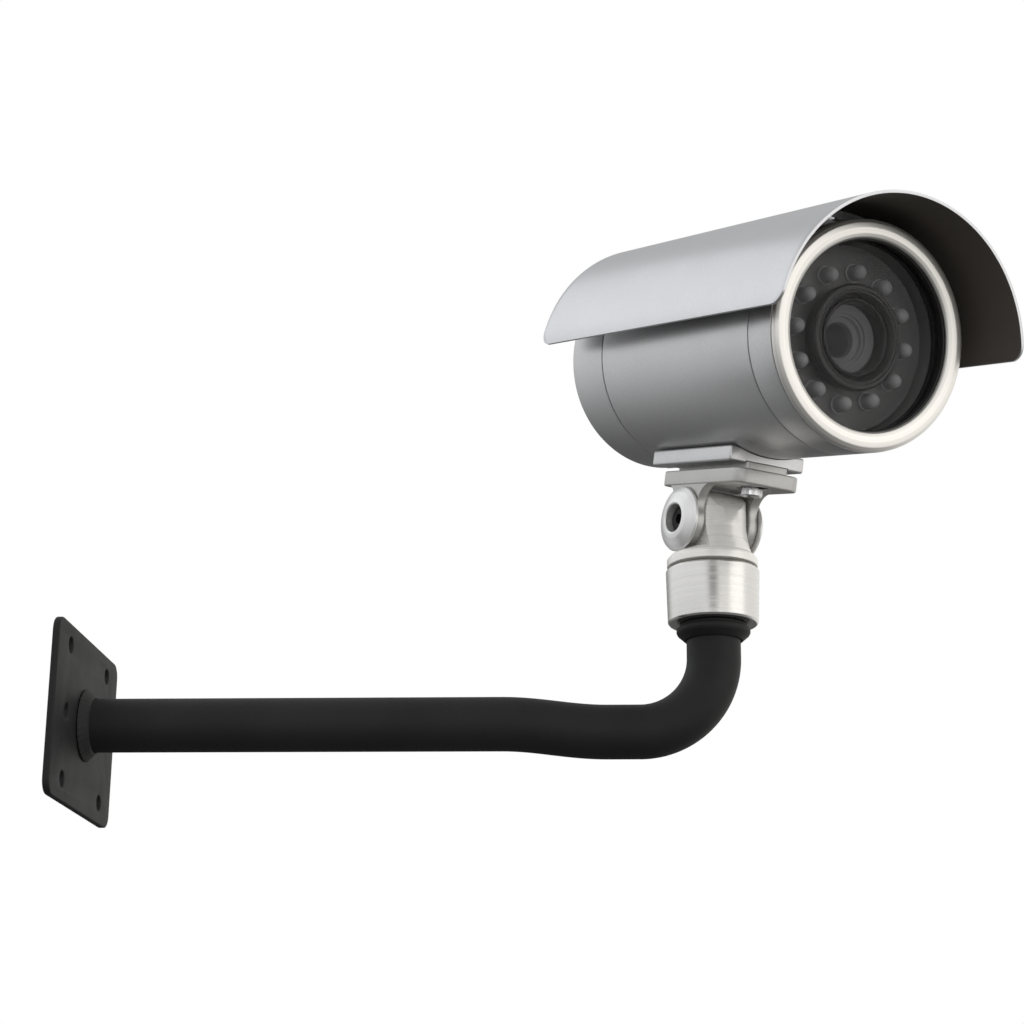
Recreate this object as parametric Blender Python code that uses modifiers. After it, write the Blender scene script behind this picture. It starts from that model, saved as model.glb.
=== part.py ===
"""Bullet security camera on a bent wall arm.

The origin is the middle of the wall plate's back face. +X runs out along the arm, away
from the wall, and +Z is up. Sizes are in millimetres and become metres in the meshes.

Three empties carry what moves: pan_axis stands on the stub of the arm, tilt_axis lies
in the yoke bolt, and barrel_axis lies along the camera barrel, looking along its +X.
"""
import bpy
import bmesh
from math import atan2, ceil, cos, pi, radians, sin, sqrt
from mathutils import Matrix

MM = 0.001
GAP = 0.3                     # clearance between pieces that touch
ROUND = 36                    # sides of a large turned piece

# Wall plate and arm
PLATE_T, PLATE_W, PLATE_H, PLATE_CORNER = 3.0, 94.0, 71.0, 6.0
PLATE_HOLE_R, PLATE_HOLE_Y, PLATE_HOLE_Z = 3.3, 29.0, 27.0
TUBE_R, TUBE_BORE_R = 11.0, 9.5
ARM_REACH = 260.0             # wall to the upright stub
ARM_DIP, DIP_FROM, DIP_TO = 3.4, 174.0, 217.0
BEND_R = 30.0

# Swivel: heights above the arm's axis
FERRULE_Z, COLLAR_Z, COLLAR_TOP, STALK_Z = 33.9, 40.7, 63.5, 64.6
COLLAR_R_LOW, COLLAR_R_TOP, BAND_R = 18.4, 19.1, 18.6
WEB_Z = 52.0
TILT_Z = 83.3                 # tilt bolt above the arm's axis
PAN, TILT = 33.4, -13.4       # heading from -Y towards +X, and nose up; degrees
SPINDLE_R, SPINDLE_BORE_R = 4.0, 4.3
GRUB_Z, GRUB_R, GRUB_BORE_R = 46.0, 2.5, 2.8

# Tilt joint: the yoke's ears hold the tongue between two washers
TONGUE_HALF, TONGUE_R, COLUMN_R, FLARE_R = 10.0, 13.6, 14.4, 17.0
EAR_IN, EAR_OUT, EAR_R = 11.0, 15.0, 11.4
CAP_R, CAP_HOLE_R, CAP_OUT = 13.5, 5.85, 19.2
BOLT_R, BOLT_BORE_R, BOLT_HEAD_R, HEAD_SEAT_R, SEAT_DEPTH = 3.0, 3.3, 5.0, 6.3, 2.2
SHOE_Z, SHOE_T, SHOE_HALF, SHOE_REAR, SHOE_FRONT = 14.3, 6.2, 15.4, -17.5, 38.5
NECK_HALF, NECK_TOP = 10.0, 23.4
RAIL_Z, RAIL_TOP, RAIL_HALF, RAIL_REAR, RAIL_FRONT = 22.7, 28.9, 18.0, -23.0, 35.0
CLAMP_X, CLAMP_TRAVEL, CLAMP_BORE_R = 26.0, 6.0, 3.3
RAIL_SCREWS, RAIL_SCREW_R = (("front", 8.0), ("rear", -17.0)), 2.0

# Barrel: stations along its axis, ahead of the tilt bolt
BARREL_Z = 70.9               # barrel axis above the tilt bolt
BARREL_R, BARREL_BORE = 44.5, 41.5
REAR_END, REAR_SEAM, FRONT_SEAM, BEZEL_SEAM = -56.2, -30.5, 76.7, 91.8
BEZEL_FRONT, BEZEL_BORE = 94.9, 36.8
GLASS_X, GLASS_T, GLASS_R = 86.5, 2.5, 38.8
LED_BOARD_X, LED_RING_R, LED_COUNT, LED_R = 76.4, 25.7, 12, 3.7
SPIGOT_R, SPIGOT_BORE, SPIGOT_L = 41.2, 37.4, 6.7
RIB_LOW, RIB_HIGH = 35.0, 36.0

# Sunshield: a rolled sheet whose arc is centred a little under the barrel's axis
SHIELD_R, SHIELD_T, SHIELD_DROP = 56.0, 1.2, 5.4
SHIELD_REAR, SHIELD_FRONT, SHIELD_EDGE_ANGLE = -61.0, 115.2, 4.5
SHIELD_CORNER, SHIELD_TRAVEL, SHIELD_SCREWS = 6.0, 10.0, (-18.0, 48.0)
SHIELD_SCREW_R, SHIELD_SLOT_R = 2.0, 2.4

# Camera module
LENS_R, CELL_R, SENSOR_X, RODS = 15.0, 11.0, 28.0, ((16.0, 17.0), (16.0, -27.0))


def clear_scene():
    for thing in list(bpy.data.objects):
        bpy.data.objects.remove(thing, do_unlink=True)


clear_scene()
PARTS = bpy.data.collections.new("security_camera")
CUTTERS = bpy.data.collections.new("cutters")
for group in (PARTS, CUTTERS):
    bpy.context.scene.collection.children.link(group)


def material(name, colour, roughness, metallic):
    finish = bpy.data.materials.new(name)
    finish.use_nodes = True
    shader = finish.node_tree.nodes["Principled BSDF"]
    shader.inputs["Base Color"].default_value = (*colour, 1.0)
    shader.inputs["Roughness"].default_value = roughness
    shader.inputs["Metallic"].default_value = metallic
    finish.diffuse_color = (*colour, 1.0)
    return finish


FINISHES = {
    "black_steel": ((0.02, 0.02, 0.022), 0.45, 0.0),
    "silver_paint": ((0.52, 0.51, 0.50), 0.35, 0.8),
    "satin_cast": ((0.72, 0.70, 0.67), 0.32, 0.9),
    "bezel_metal": ((0.80, 0.78, 0.74), 0.30, 0.8),
    "screw_steel": ((0.60, 0.60, 0.60), 0.30, 1.0),
    "black_rubber": ((0.02, 0.02, 0.02), 0.8, 0.0),
    "smoked_glass": ((0.08, 0.09, 0.11), 0.05, 0.0),
    "lens_glass": ((0.10, 0.10, 0.12), 0.05, 0.0),
    "black_plastic": ((0.03, 0.03, 0.03), 0.5, 0.0),
    "circuit_board": ((0.03, 0.10, 0.05), 0.5, 0.0),
    "nylon": ((0.75, 0.74, 0.70), 0.5, 0.0),
}


# ---- frames -----------------------------------------------------------------

def empty(name, parent, place):
    frame = bpy.data.objects.new(name, None)
    CUTTERS.objects.link(frame)
    frame.hide_render = True
    frame.parent = parent
    frame.matrix_basis = place
    return frame


def at(x=0.0, y=0.0, z=0.0):
    return Matrix.Translation((x * MM, y * MM, z * MM))


PAN_AXIS = empty("pan_axis", None, at(ARM_REACH) @ Matrix.Rotation(radians(PAN - 90), 4, "Z"))
TILT_AXIS = empty("tilt_axis", PAN_AXIS, at(z=TILT_Z) @ Matrix.Rotation(radians(-TILT), 4, "Y"))
BARREL_AXIS = empty("barrel_axis", TILT_AXIS, at(z=BARREL_Z))
ALONG_X = Matrix.Rotation(pi / 2, 4, "Y")          # turns a lathe's +Z to +X
ALONG_Y = Matrix.Rotation(-pi / 2, 4, "X")         # turns a lathe's +Z to +Y
FACING_Y = Matrix.Rotation(pi / 2, 4, "X")         # stands an outline up in the XZ plane
FACING_X = Matrix(((0, 0, 1, 0), (1, 0, 0, 0), (0, 1, 0, 0), (0, 0, 0, 1)))


# ---- shape makers -----------------------------------------------------------

def add(name, mesh, finish, frame=None, place=Matrix.Identity(4), cutter=False):
    piece = bpy.data.objects.new(name, mesh)
    (CUTTERS if cutter else PARTS).objects.link(piece)
    piece.parent = frame
    piece.matrix_basis = place
    if cutter:
        piece.hide_render = True
        piece.display_type = "WIRE"
    else:
        colour, roughness, metallic = FINISHES[finish]
        mesh.materials.clear()
        mesh.materials.append(material(name + "_" + finish, colour, roughness, metallic))
    return piece


def smooth(mesh, angle=35.0):
    mesh.shade_smooth()
    mesh.set_sharp_from_angle(angle=radians(angle))


def area(points):
    pairs = zip(points, points[1:] + points[:1])
    return sum(a[0] * b[1] - b[0] * a[1] for a, b in pairs) / 2


def turned(name, profile, finish=None, frame=None, place=Matrix.Identity(4), steps=ROUND):
    """Lathe a closed (radius, height) outline round Z; two points on the axis make it solid."""
    points = list(profile) if area(list(profile)) < 0 else list(profile)[::-1]
    solid = [i for i, p in enumerate(points) if p[0] == 0]
    if solid:
        top = max(solid, key=lambda i: points[i][1])
        points = points[top:] + points[:top]
    mesh = bpy.data.meshes.new(name)
    edges = [(i, i + 1) for i in range(len(points) - 1)]
    if not solid:
        edges.append((len(points) - 1, 0))
    mesh.from_pydata([(r * MM, 0, z * MM) for r, z in points], edges, [])
    piece = add(name, mesh, finish, frame, place, cutter=finish is None)
    screw = piece.modifiers.new("lathe", "SCREW")
    screw.axis = "Z"
    screw.steps = screw.render_steps = steps
    screw.use_merge_vertices = True
    screw.merge_threshold = 0.00001
    screw.use_normal_calculate = False
    return bake(piece)


def bake(piece):
    """Replace a piece's mesh by its evaluated one and drop the modifiers."""
    depsgraph = bpy.context.evaluated_depsgraph_get()
    mesh = bpy.data.meshes.new_from_object(piece.evaluated_get(depsgraph))
    kept = [slot for slot in piece.data.materials]
    piece.modifiers.clear()
    piece.data = mesh
    mesh.materials.clear()
    for slot in kept:
        mesh.materials.append(slot)
    smooth(mesh)
    return piece


def outline_mesh(name, outlines, thickness):
    """Fill flat outlines, the first one the rim and the rest holes, and give them thickness."""
    curve = bpy.data.curves.new(name, "CURVE")
    curve.dimensions = "2D"
    curve.fill_mode = "BOTH"
    curve.extrude = thickness / 2 * MM
    for points in outlines:
        spline = curve.splines.new("POLY")
        spline.points.add(len(points) - 1)
        for slot, (x, y) in zip(spline.points, points):
            slot.co = (x * MM, y * MM, 0, 1)
        spline.use_cyclic_u = True
    return curve_mesh(name, curve)


def curve_mesh(name, curve):
    holder = bpy.data.objects.new(name + "_curve", curve)
    CUTTERS.objects.link(holder)
    depsgraph = bpy.context.evaluated_depsgraph_get()
    mesh = bpy.data.meshes.new_from_object(holder.evaluated_get(depsgraph))
    bpy.data.objects.remove(holder, do_unlink=True)
    work = bmesh.new()
    work.from_mesh(mesh)
    bmesh.ops.remove_doubles(work, verts=work.verts, dist=0.000001)
    bmesh.ops.recalc_face_normals(work, faces=work.faces)
    work.to_mesh(mesh)
    work.free()
    return mesh


def sheet(name, outlines, thickness, finish=None, frame=None, place=Matrix.Identity(4)):
    mesh = outline_mesh(name, outlines, thickness)
    piece = add(name, mesh, finish, frame, place, cutter=finish is None)
    smooth(piece.data)
    return piece


def box(name, low, high, finish=None, frame=None):
    mesh = bpy.data.meshes.new(name)
    work = bmesh.new()
    bmesh.ops.create_cube(work, size=1.0)
    for vert in work.verts:
        vert.co = [(a + (b - a) * (c + 0.5)) * MM for a, b, c in zip(low, high, vert.co)]
    work.to_mesh(mesh)
    work.free()
    return add(name, mesh, finish, frame, cutter=finish is None)


def rod(name, radius, low, high, finish=None, frame=None, place=Matrix.Identity(4), steps=16):
    """A plain round bar along the lathe's Z, from low to high."""
    profile = [(0, high), (radius, high), (radius, low), (0, low)]
    return turned(name, profile, finish, frame, place, steps)


def tube_mesh(name, path, radius, bevel_resolution):
    curve = bpy.data.curves.new(name, "CURVE")
    curve.dimensions = "3D"
    curve.bevel_depth = radius * MM
    curve.bevel_resolution = bevel_resolution
    curve.use_fill_caps = True
    spline = curve.splines.new("POLY")
    spline.points.add(len(path) - 1)
    for slot, point in zip(spline.points, path):
        slot.co = (*[c * MM for c in point], 1)
    return curve_mesh(name, curve)


def combine(piece, tool, operation):
    change = piece.modifiers.new(tool.name, "BOOLEAN")
    change.object = tool
    change.operation = operation
    change.solver = "EXACT"
    return piece


def cut(piece, *tools):
    for tool in tools:
        combine(piece, tool, "DIFFERENCE")
    return piece


def join(piece, *tools):
    for tool in tools:
        combine(piece, tool, "UNION")
    return piece


# ---- outlines ---------------------------------------------------------------

def arc(cx, cy, radius, start, end, step=15.0):
    count = max(2, ceil(abs(end - start) / step))
    angles = [radians(start + (end - start) * i / count) for i in range(count + 1)]
    return [(cx + radius * cos(a), cy + radius * sin(a)) for a in angles]


def circle(radius, count=24, cx=0.0, cy=0.0):
    return arc(cx, cy, radius, 0, 360, 360 / count)[:-1]


def rounded(x0, y0, x1, y1, *corners):
    """Rectangle with corner radii given from the low-low corner, anticlockwise."""
    radii = corners * 4 if len(corners) == 1 else corners
    signs = ((1, 1), (-1, 1), (-1, -1), (1, -1))
    places = ((x0, y0), (x1, y0), (x1, y1), (x0, y1))
    points = []
    for i, ((x, y), (sx, sy), r) in enumerate(zip(places, signs, radii)):
        points += arc(x + sx * r, y + sy * r, r, 180 + 90 * i, 270 + 90 * i, 22.5)
    return points


def slot_outline(x0, x1, radius):
    return arc(x1 - radius, 0, radius, -90, 90, 22.5) + arc(x0 + radius, 0, radius, 90, 270, 22.5)


def hexagon(across_flats):
    return arc(0, 0, across_flats / sqrt(3), 0, 360, 60)[:-1]


def hex_prism(name, across_flats, low, high, finish=None, frame=None, place=Matrix.Identity(4)):
    """A hexagon bar along the lathe's Z."""
    middle = Matrix.Translation((0, 0, (low + high) / 2 * MM))
    return sheet(name, [hexagon(across_flats)], high - low, finish, frame, place @ middle)


# ---- bracket ----------------------------------------------------------------

def arm_path(first_x, last_z):
    """The tube's centreline in the XZ plane: straight, a shallow dip, then the elbow."""
    path = [(first_x, 0, 0), (DIP_FROM / 2, 0, 0)]
    for i in range(11):
        t = i / 10
        path.append((DIP_FROM + (DIP_TO - DIP_FROM) * t, 0, -ARM_DIP * (1 - cos(pi * t)) / 2))
    centre = (ARM_REACH - BEND_R, BEND_R - ARM_DIP)
    path += [(x, 0, z) for x, z in arc(*centre, BEND_R, -90, 0, 7.5)]
    path.append((ARM_REACH, 0, last_z))
    return path


def make_bracket():
    holes = [circle(PLATE_HOLE_R, 16, sy * PLATE_HOLE_Y, sz * PLATE_HOLE_Z)
             for sy in (-1, 1) for sz in (-1, 0, 1)]
    rim = rounded(-PLATE_W / 2, -PLATE_H / 2, PLATE_W / 2, PLATE_H / 2, PLATE_CORNER)
    sheet("wall_plate", [rim] + holes, PLATE_T, "black_steel", None, at(PLATE_T / 2) @ FACING_X)

    root = PLATE_T + GAP
    bead = [(TUBE_R + GAP, root), (TUBE_R + 4.5, root), (TUBE_R + 2.6, root + 1.6),
            (TUBE_R + 1.0, root + 3.6), (TUBE_R + GAP, root + 4.2)]
    turned("weld_bead", bead, "black_steel", None, ALONG_X, 24)

    tube_top = WEB_Z - GAP
    arm = add("arm_tube", tube_mesh("arm_tube", arm_path(root, tube_top), TUBE_R, 6), "black_steel")
    bore_path = arm_path(root - 2, tube_top + 2)
    cut(arm, add("arm_bore", tube_mesh("arm_bore", bore_path, TUBE_BORE_R, 4), None, cutter=True))
    smooth(arm.data)

    inner = TUBE_R + GAP
    ferrule = [(inner, FERRULE_Z), (inner + 0.6, FERRULE_Z), (14.6, FERRULE_Z + 2.4),
               (15.0, FERRULE_Z + 3.2), (15.0, FERRULE_Z + 4.8), (13.6, FERRULE_Z + 5.2),
               (13.6, COLLAR_Z - GAP), (inner, COLLAR_Z - GAP)]
    turned("tube_ferrule", ferrule, "black_steel", None, at(ARM_REACH), 28)

    collar = [(inner, COLLAR_Z), (COLLAR_R_LOW - 0.7, COLLAR_Z), (COLLAR_R_LOW, COLLAR_Z + 0.8),
              (COLLAR_R_TOP, COLLAR_TOP - 0.8), (COLLAR_R_TOP - 0.7, COLLAR_TOP),
              (15.6, COLLAR_TOP), (15.6, COLLAR_TOP - 1.5), (8.6, COLLAR_TOP - 1.5),
              (8.6, COLLAR_TOP), (4.4, COLLAR_TOP), (4.4, WEB_Z), (inner, WEB_Z)]
    body = turned("swivel_collar", collar, "satin_cast", None, at(ARM_REACH))
    grub_place = at(ARM_REACH, 0, GRUB_Z) @ ALONG_Y
    cut(body, rod("grub_hole", GRUB_BORE_R, 9.0, 22.0, None, None, grub_place))
    grub = rod("collar_grub_screw", GRUB_R, inner + 0.2, 18.0, "screw_steel", None, grub_place, 16)
    cut(grub, hex_prism("grub_socket", 2.5, 15.0, 19.0, None, None, grub_place))


# ---- swivel -----------------------------------------------------------------

def make_swivel():
    base_top = STALK_Z + 3.8
    base = [(0, base_top + 1.0), (BAND_R - 1.4, base_top + 1.0), (BAND_R - 0.5, base_top + 0.1),
            (BAND_R - 0.5, base_top - 0.3), (BAND_R, base_top - 0.6), (BAND_R, STALK_Z + 0.6),
            (BAND_R - 0.6, STALK_Z), (0, STALK_Z)]
    stalk = turned("stalk", base, "satin_cast", PAN_AXIS)
    top = TILT_Z + TONGUE_R
    column = [(0, top + 1), (COLUMN_R, top + 1), (COLUMN_R, TILT_Z - 4), (15.0, TILT_Z - 8),
              (16.0, TILT_Z - 11.5), (FLARE_R, base_top + 0.6), (FLARE_R, base_top), (0, base_top)]
    tongue = turned("tongue_column", column, None, PAN_AXIS, steps=28)
    side_view = [(-20, base_top + 0.2), (20, base_top + 0.2), (20, TILT_Z - 10)]
    side_view += arc(0, TILT_Z, TONGUE_R, 0, 180, 12) + [(-20, TILT_Z - 10)]
    slab = sheet("tongue_slab", [side_view], TONGUE_HALF * 2, None, PAN_AXIS, FACING_Y)
    combine(tongue, slab, "INTERSECT")
    shoulder = [(0, base_top + 2.6), (14.0, base_top + 2.6), (14.6, base_top + 0.5), (0, base_top + 0.5)]
    join(stalk, tongue, turned("shoulder", shoulder, None, PAN_AXIS, steps=28))
    across = at(z=TILT_Z) @ ALONG_Y
    cut(stalk, rod("tongue_bore", BOLT_BORE_R, -14, 14, None, PAN_AXIS, across),
        rod("spindle_bore", SPINDLE_BORE_R, STALK_Z - 3, STALK_Z + 9.6, None, PAN_AXIS))

    rod("pan_bolt", SPINDLE_R, 43.6, STALK_Z + 9.0, "screw_steel", PAN_AXIS)
    nut = hex_prism("pan_nut", 13.0, 44.8, 50.0, "screw_steel", PAN_AXIS)
    cut(nut, rod("pan_nut_bore", SPINDLE_BORE_R, 40, 55, None, PAN_AXIS))
    spring_washer = [(4.4, 50.3), (8.0, 50.3), (8.0, WEB_Z - GAP), (4.4, WEB_Z - GAP)]
    turned("pan_spring_washer", spring_washer, "screw_steel", PAN_AXIS, steps=24)
    seat = COLLAR_TOP - 1.2
    bearing = [(8.9, seat), (15.3, seat), (15.3, STALK_Z - GAP), (8.9, STALK_Z - GAP)]
    turned("pan_bearing_washer", bearing, "nylon", PAN_AXIS, steps=28)


# ---- yoke -------------------------------------------------------------------

def ear_outline():
    """Disc round the bolt, blended into the shoe above by one fillet on each side."""
    fillets = []
    for radius in (8.5, 5.0):
        rise = SHOE_Z + 0.2 - radius           # the fillet runs out just inside the shoe
        run = sqrt((EAR_R + radius) ** 2 - rise ** 2)
        fillets.append((radius, run, rise, atan2(rise, run) * 180 / pi))
    front, rear = fillets
    top = SHOE_Z + 2.0
    points = arc(0, 0, EAR_R, 180 - rear[3], 360 + front[3], 12)
    points += arc(front[1], front[2], front[0], 180 + front[3], 90, 15)
    points += [(front[1], top), (-rear[1], top)]
    points += arc(-rear[1], rear[2], rear[0], 90, -rear[3], 20)
    return points[:-1]


def bolt_counterbore(name, side):
    low, high = sorted((side * (EAR_OUT - SEAT_DEPTH), side * (EAR_OUT + 2)))
    return rod(name, HEAD_SEAT_R, low, high, None, TILT_AXIS, ALONG_Y, 24)


def make_yoke():
    shoe_rim = rounded(SHOE_REAR, -SHOE_HALF, SHOE_FRONT, SHOE_HALF, 2.5, 5.0, 5.0, 2.5)
    yoke = sheet("yoke", [shoe_rim], SHOE_T, "satin_cast", TILT_AXIS, at(z=SHOE_Z + SHOE_T / 2))
    for side, name in ((-1, "ear_right"), (1, "ear_left")):
        place = at(y=side * (EAR_IN + EAR_OUT) / 2) @ FACING_Y
        join(yoke, sheet(name, [ear_outline()], EAR_OUT - EAR_IN, None, TILT_AXIS, place))
    join(yoke, box("neck", (-15, -NECK_HALF, SHOE_Z + 1), (36, NECK_HALF, NECK_TOP), None, TILT_AXIS))
    reach, half = CLAMP_TRAVEL + CLAMP_BORE_R + 0.1, CLAMP_BORE_R + 0.1
    slot = slot_outline(CLAMP_X - reach, CLAMP_X + reach, half)
    cut(yoke, sheet("clamp_slot", [slot], 20, None, TILT_AXIS, at(z=20)),
        rod("ear_bore", BOLT_BORE_R, -24, 24, None, TILT_AXIS, ALONG_Y),
        bolt_counterbore("head_seat", -1), bolt_counterbore("nut_seat", 1))

    for side, name in ((-1, "right"), (1, "left")):
        low, high = TONGUE_HALF + GAP, EAR_IN - GAP
        washer = [(3.7, low), (9.5, low), (9.5, high), (3.7, high)]
        cap = [(CAP_HOLE_R, EAR_OUT + GAP), (CAP_R - 0.4, EAR_OUT + GAP), (CAP_R, EAR_OUT + 0.8),
               (CAP_R - 0.4, EAR_OUT + 1.5), (11.0, EAR_OUT + 2.6), (8.4, EAR_OUT + 3.7),
               (CAP_HOLE_R + 0.6, CAP_OUT), (CAP_HOLE_R, CAP_OUT - 0.4)]
        mirror = Matrix.Identity(4) if side > 0 else Matrix.Rotation(pi, 4, "Z")
        turned("tilt_washer_" + name, washer, "nylon", TILT_AXIS, mirror @ ALONG_Y, 20)
        turned("tilt_cap_" + name, cap, "satin_cast", TILT_AXIS, mirror @ ALONG_Y, 28)

    head = -(EAR_OUT - SEAT_DEPTH + GAP)
    bolt = [(0, 19.0), (BOLT_R, 19.0), (BOLT_R, head), (BOLT_HEAD_R, head),
            (BOLT_HEAD_R, head - 3.2), (0, head - 3.2)]
    tilt_bolt = turned("tilt_bolt", bolt, "screw_steel", TILT_AXIS, ALONG_Y, 24)
    cut(tilt_bolt, hex_prism("bolt_socket", 4.0, head - 5, head - 1.2, None, TILT_AXIS, ALONG_Y))
    nut = hex_prism("tilt_nut", 10.0, -head, 17.9, "screw_steel", TILT_AXIS, ALONG_Y)
    cut(nut, rod("tilt_nut_bore", BOLT_BORE_R, 10, 22, None, TILT_AXIS, ALONG_Y))


# ---- barrel -----------------------------------------------------------------

def make_rail():
    rail = box("rail_plate", (RAIL_REAR, -RAIL_HALF, RAIL_Z), (RAIL_FRONT, RAIL_HALF, RAIL_TOP),
               "silver_paint", TILT_AXIS)
    groove = (NECK_HALF + GAP, NECK_TOP + GAP)
    saddle_place = at(z=BARREL_Z) @ ALONG_X
    cut(rail, rod("barrel_saddle", BARREL_R + GAP, -60, 60, None, TILT_AXIS, saddle_place, 96),
        box("neck_groove", (-40, -groove[0], 15), (50, groove[0], groove[1]), None, TILT_AXIS))
    wall = BARREL_Z - BARREL_R
    radius = RAIL_SCREW_R
    for name, x in RAIL_SCREWS:
        hole = [(0, wall + 4), (radius + GAP, wall + 4), (radius + GAP, groove[1] + 1.6),
                (4.4, groove[1] - 0.4), (4.4, groove[1] - 3), (0, groove[1] - 3)]
        cut(rail, turned("rail_hole_" + name, hole, None, TILT_AXIS, at(x), 20))
        seat = groove[1] + 0.2
        screw = [(0, wall + 7), (radius, wall + 7), (radius, seat + 1.6), (3.7, seat), (0, seat)]
        turned("rail_screw_" + name, screw, "screw_steel", TILT_AXIS, at(x), 20)
    cut(rail, rod("clamp_hole", CLAMP_BORE_R, 15, 40, None, TILT_AXIS, at(CLAMP_X)))
    under = SHOE_Z - GAP
    clamp = [(0, wall + 6.5), (3.0, wall + 6.5), (3.0, under), (4.6, under), (4.6, under - 2.6),
             (4.0, under - 3.2), (0, under - 3.2)]
    screw = turned("rail_clamp_screw", clamp, "screw_steel", TILT_AXIS, at(CLAMP_X), 24)
    cut(screw, hex_prism("clamp_socket", 3.0, under - 6, under - 1.6, None, TILT_AXIS, at(CLAMP_X)))


def ring(name, profile, finish=None, steps=ROUND):
    """A turned barrel piece: the profile is (radius, station)."""
    return turned(name, profile, finish, BARREL_AXIS, ALONG_X, steps)


def band(inner, outer, rear, front):
    return [(inner, rear), (outer, rear), (outer, front), (inner, front)]


def make_barrel():
    tube_rear, tube_front = REAR_SEAM + GAP, FRONT_SEAM - GAP
    edge = 0.4
    tube = ring("barrel_tube", [
        (BARREL_BORE, tube_rear), (BARREL_R - edge, tube_rear), (BARREL_R, tube_rear + edge),
        (BARREL_R, tube_front - edge), (BARREL_R - edge, tube_front), (BARREL_BORE, tube_front)],
        "silver_paint", ROUND)
    join(tube, box("lower_rib", (-23, -6, -BARREL_BORE - 1), (34, 6, -RIB_LOW), None, BARREL_AXIS),
         box("upper_rib", (-23, -5, RIB_HIGH), (56, 5, BARREL_BORE + 1), None, BARREL_AXIS))
    cut(tube, rod("rib_hole_clamp", CLAMP_BORE_R, -60, -30, None, BARREL_AXIS, at(CLAMP_X)))
    for name, x in RAIL_SCREWS:
        cut(tube, rod("rib_hole_" + name, RAIL_SCREW_R + GAP, -60, -30, None, BARREL_AXIS, at(x)))
    for i, x in enumerate(SHIELD_SCREWS):
        cut(tube, rod("top_hole_%d" % i, SHIELD_SCREW_R + GAP, 30, 60, None, BARREL_AXIS, at(x)))

    wall = REAR_END + 3.0
    cap_front = REAR_SEAM - GAP
    ring("rear_cap", [
        (6.4, REAR_END), (BARREL_R - 2.2, REAR_END), (BARREL_R - 0.6, REAR_END + 0.6),
        (BARREL_R, REAR_END + 2.2), (BARREL_R, cap_front), (SPIGOT_R, cap_front),
        (SPIGOT_R, cap_front + 2.4), (39.2, cap_front + 2.4), (39.2, cap_front + 4.6),
        (SPIGOT_R, cap_front + 4.6), (SPIGOT_R, cap_front + SPIGOT_L),
        (SPIGOT_BORE, cap_front + SPIGOT_L), (SPIGOT_BORE, wall), (6.4, wall)], "silver_paint", ROUND)
    back = FRONT_SEAM + GAP
    ring("front_ring", [
        (SPIGOT_BORE, back - SPIGOT_L), (SPIGOT_R, back - SPIGOT_L), (SPIGOT_R, back - 4.6),
        (39.2, back - 4.6), (39.2, back - 2.4), (SPIGOT_R, back - 2.4), (SPIGOT_R, back),
        (BARREL_R, back), (BARREL_R, BEZEL_SEAM - GAP), (40.8, BEZEL_SEAM - GAP),
        (40.8, back + 6.0), (SPIGOT_BORE, back + 6.0)], "silver_paint", ROUND)
    for name, centre in (("rear_o_ring", cap_front + 3.5), ("front_o_ring", back - 3.5)):
        ring(name, [(40.35 + x, centre + y) for x, y in circle(0.8, 6)], "black_rubber", 28)
    crown = [(44.3, BEZEL_SEAM), (44.4, BEZEL_SEAM + 0.5), (43.9, BEZEL_SEAM + 1.7),
             (42.6, BEZEL_FRONT - 0.4), (40.6, BEZEL_FRONT), (38.6, BEZEL_FRONT - 0.3),
             (37.3, BEZEL_FRONT - 0.9), (BEZEL_BORE, BEZEL_FRONT - 1.6), (BEZEL_BORE, 92.5)]
    ring("bezel", crown + [(39.2, 92.5), (39.2, 84.4), (40.4, 84.4), (40.4, BEZEL_SEAM)],
         "bezel_metal", ROUND)
    glass_front = GLASS_X + GLASS_T
    ring("window_gasket", band(36.2, 38.9, glass_front + GAP, 92.2), "black_rubber", 32)
    rod("window_glass", GLASS_R, GLASS_X, glass_front, "smoked_glass", BARREL_AXIS, ALONG_X, ROUND)
    ring("glass_retainer", band(36.6, 38.9, 84.4, GLASS_X - GAP), "black_plastic", 28)


def make_gland():
    outside, inside = REAR_END - GAP, REAR_END + 3.0 + GAP
    body = hex_prism("gland_body", 15.0, outside - 4.0, outside, "black_plastic", BARREL_AXIS, ALONG_X)
    join(body, rod("gland_thread", 6.0, outside - 9.0, inside + 7.0, None, BARREL_AXIS, ALONG_X))
    cut(body, rod("gland_bore", 3.5, outside - 20, inside + 10, None, BARREL_AXIS, ALONG_X))
    nut = hex_prism("gland_locknut", 17.0, inside, inside + 4.0, "black_plastic", BARREL_AXIS, ALONG_X)
    cut(nut, rod("locknut_bore", 6.3, inside - 3, inside + 9, None, BARREL_AXIS, ALONG_X))
    tail = outside - 16.0
    ring("gland_cap", [(3.4, tail), (4.6, tail), (6.2, tail + 1.2), (7.6, tail + 4.0),
                       (7.6, outside - 4.3), (6.3, outside - 4.3), (6.3, tail + 6.7),
                       (3.4, tail + 3.0)], "black_plastic", 20)
    ring("gland_seal", [(1.8, tail + 2.2), (3.1, tail + 2.2), (3.1, tail + 3.2), (5.4, tail + 6.6),
                        (1.8, tail + 6.6)], "black_rubber", 16)


# ---- window side: boards and lens -------------------------------------------

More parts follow.
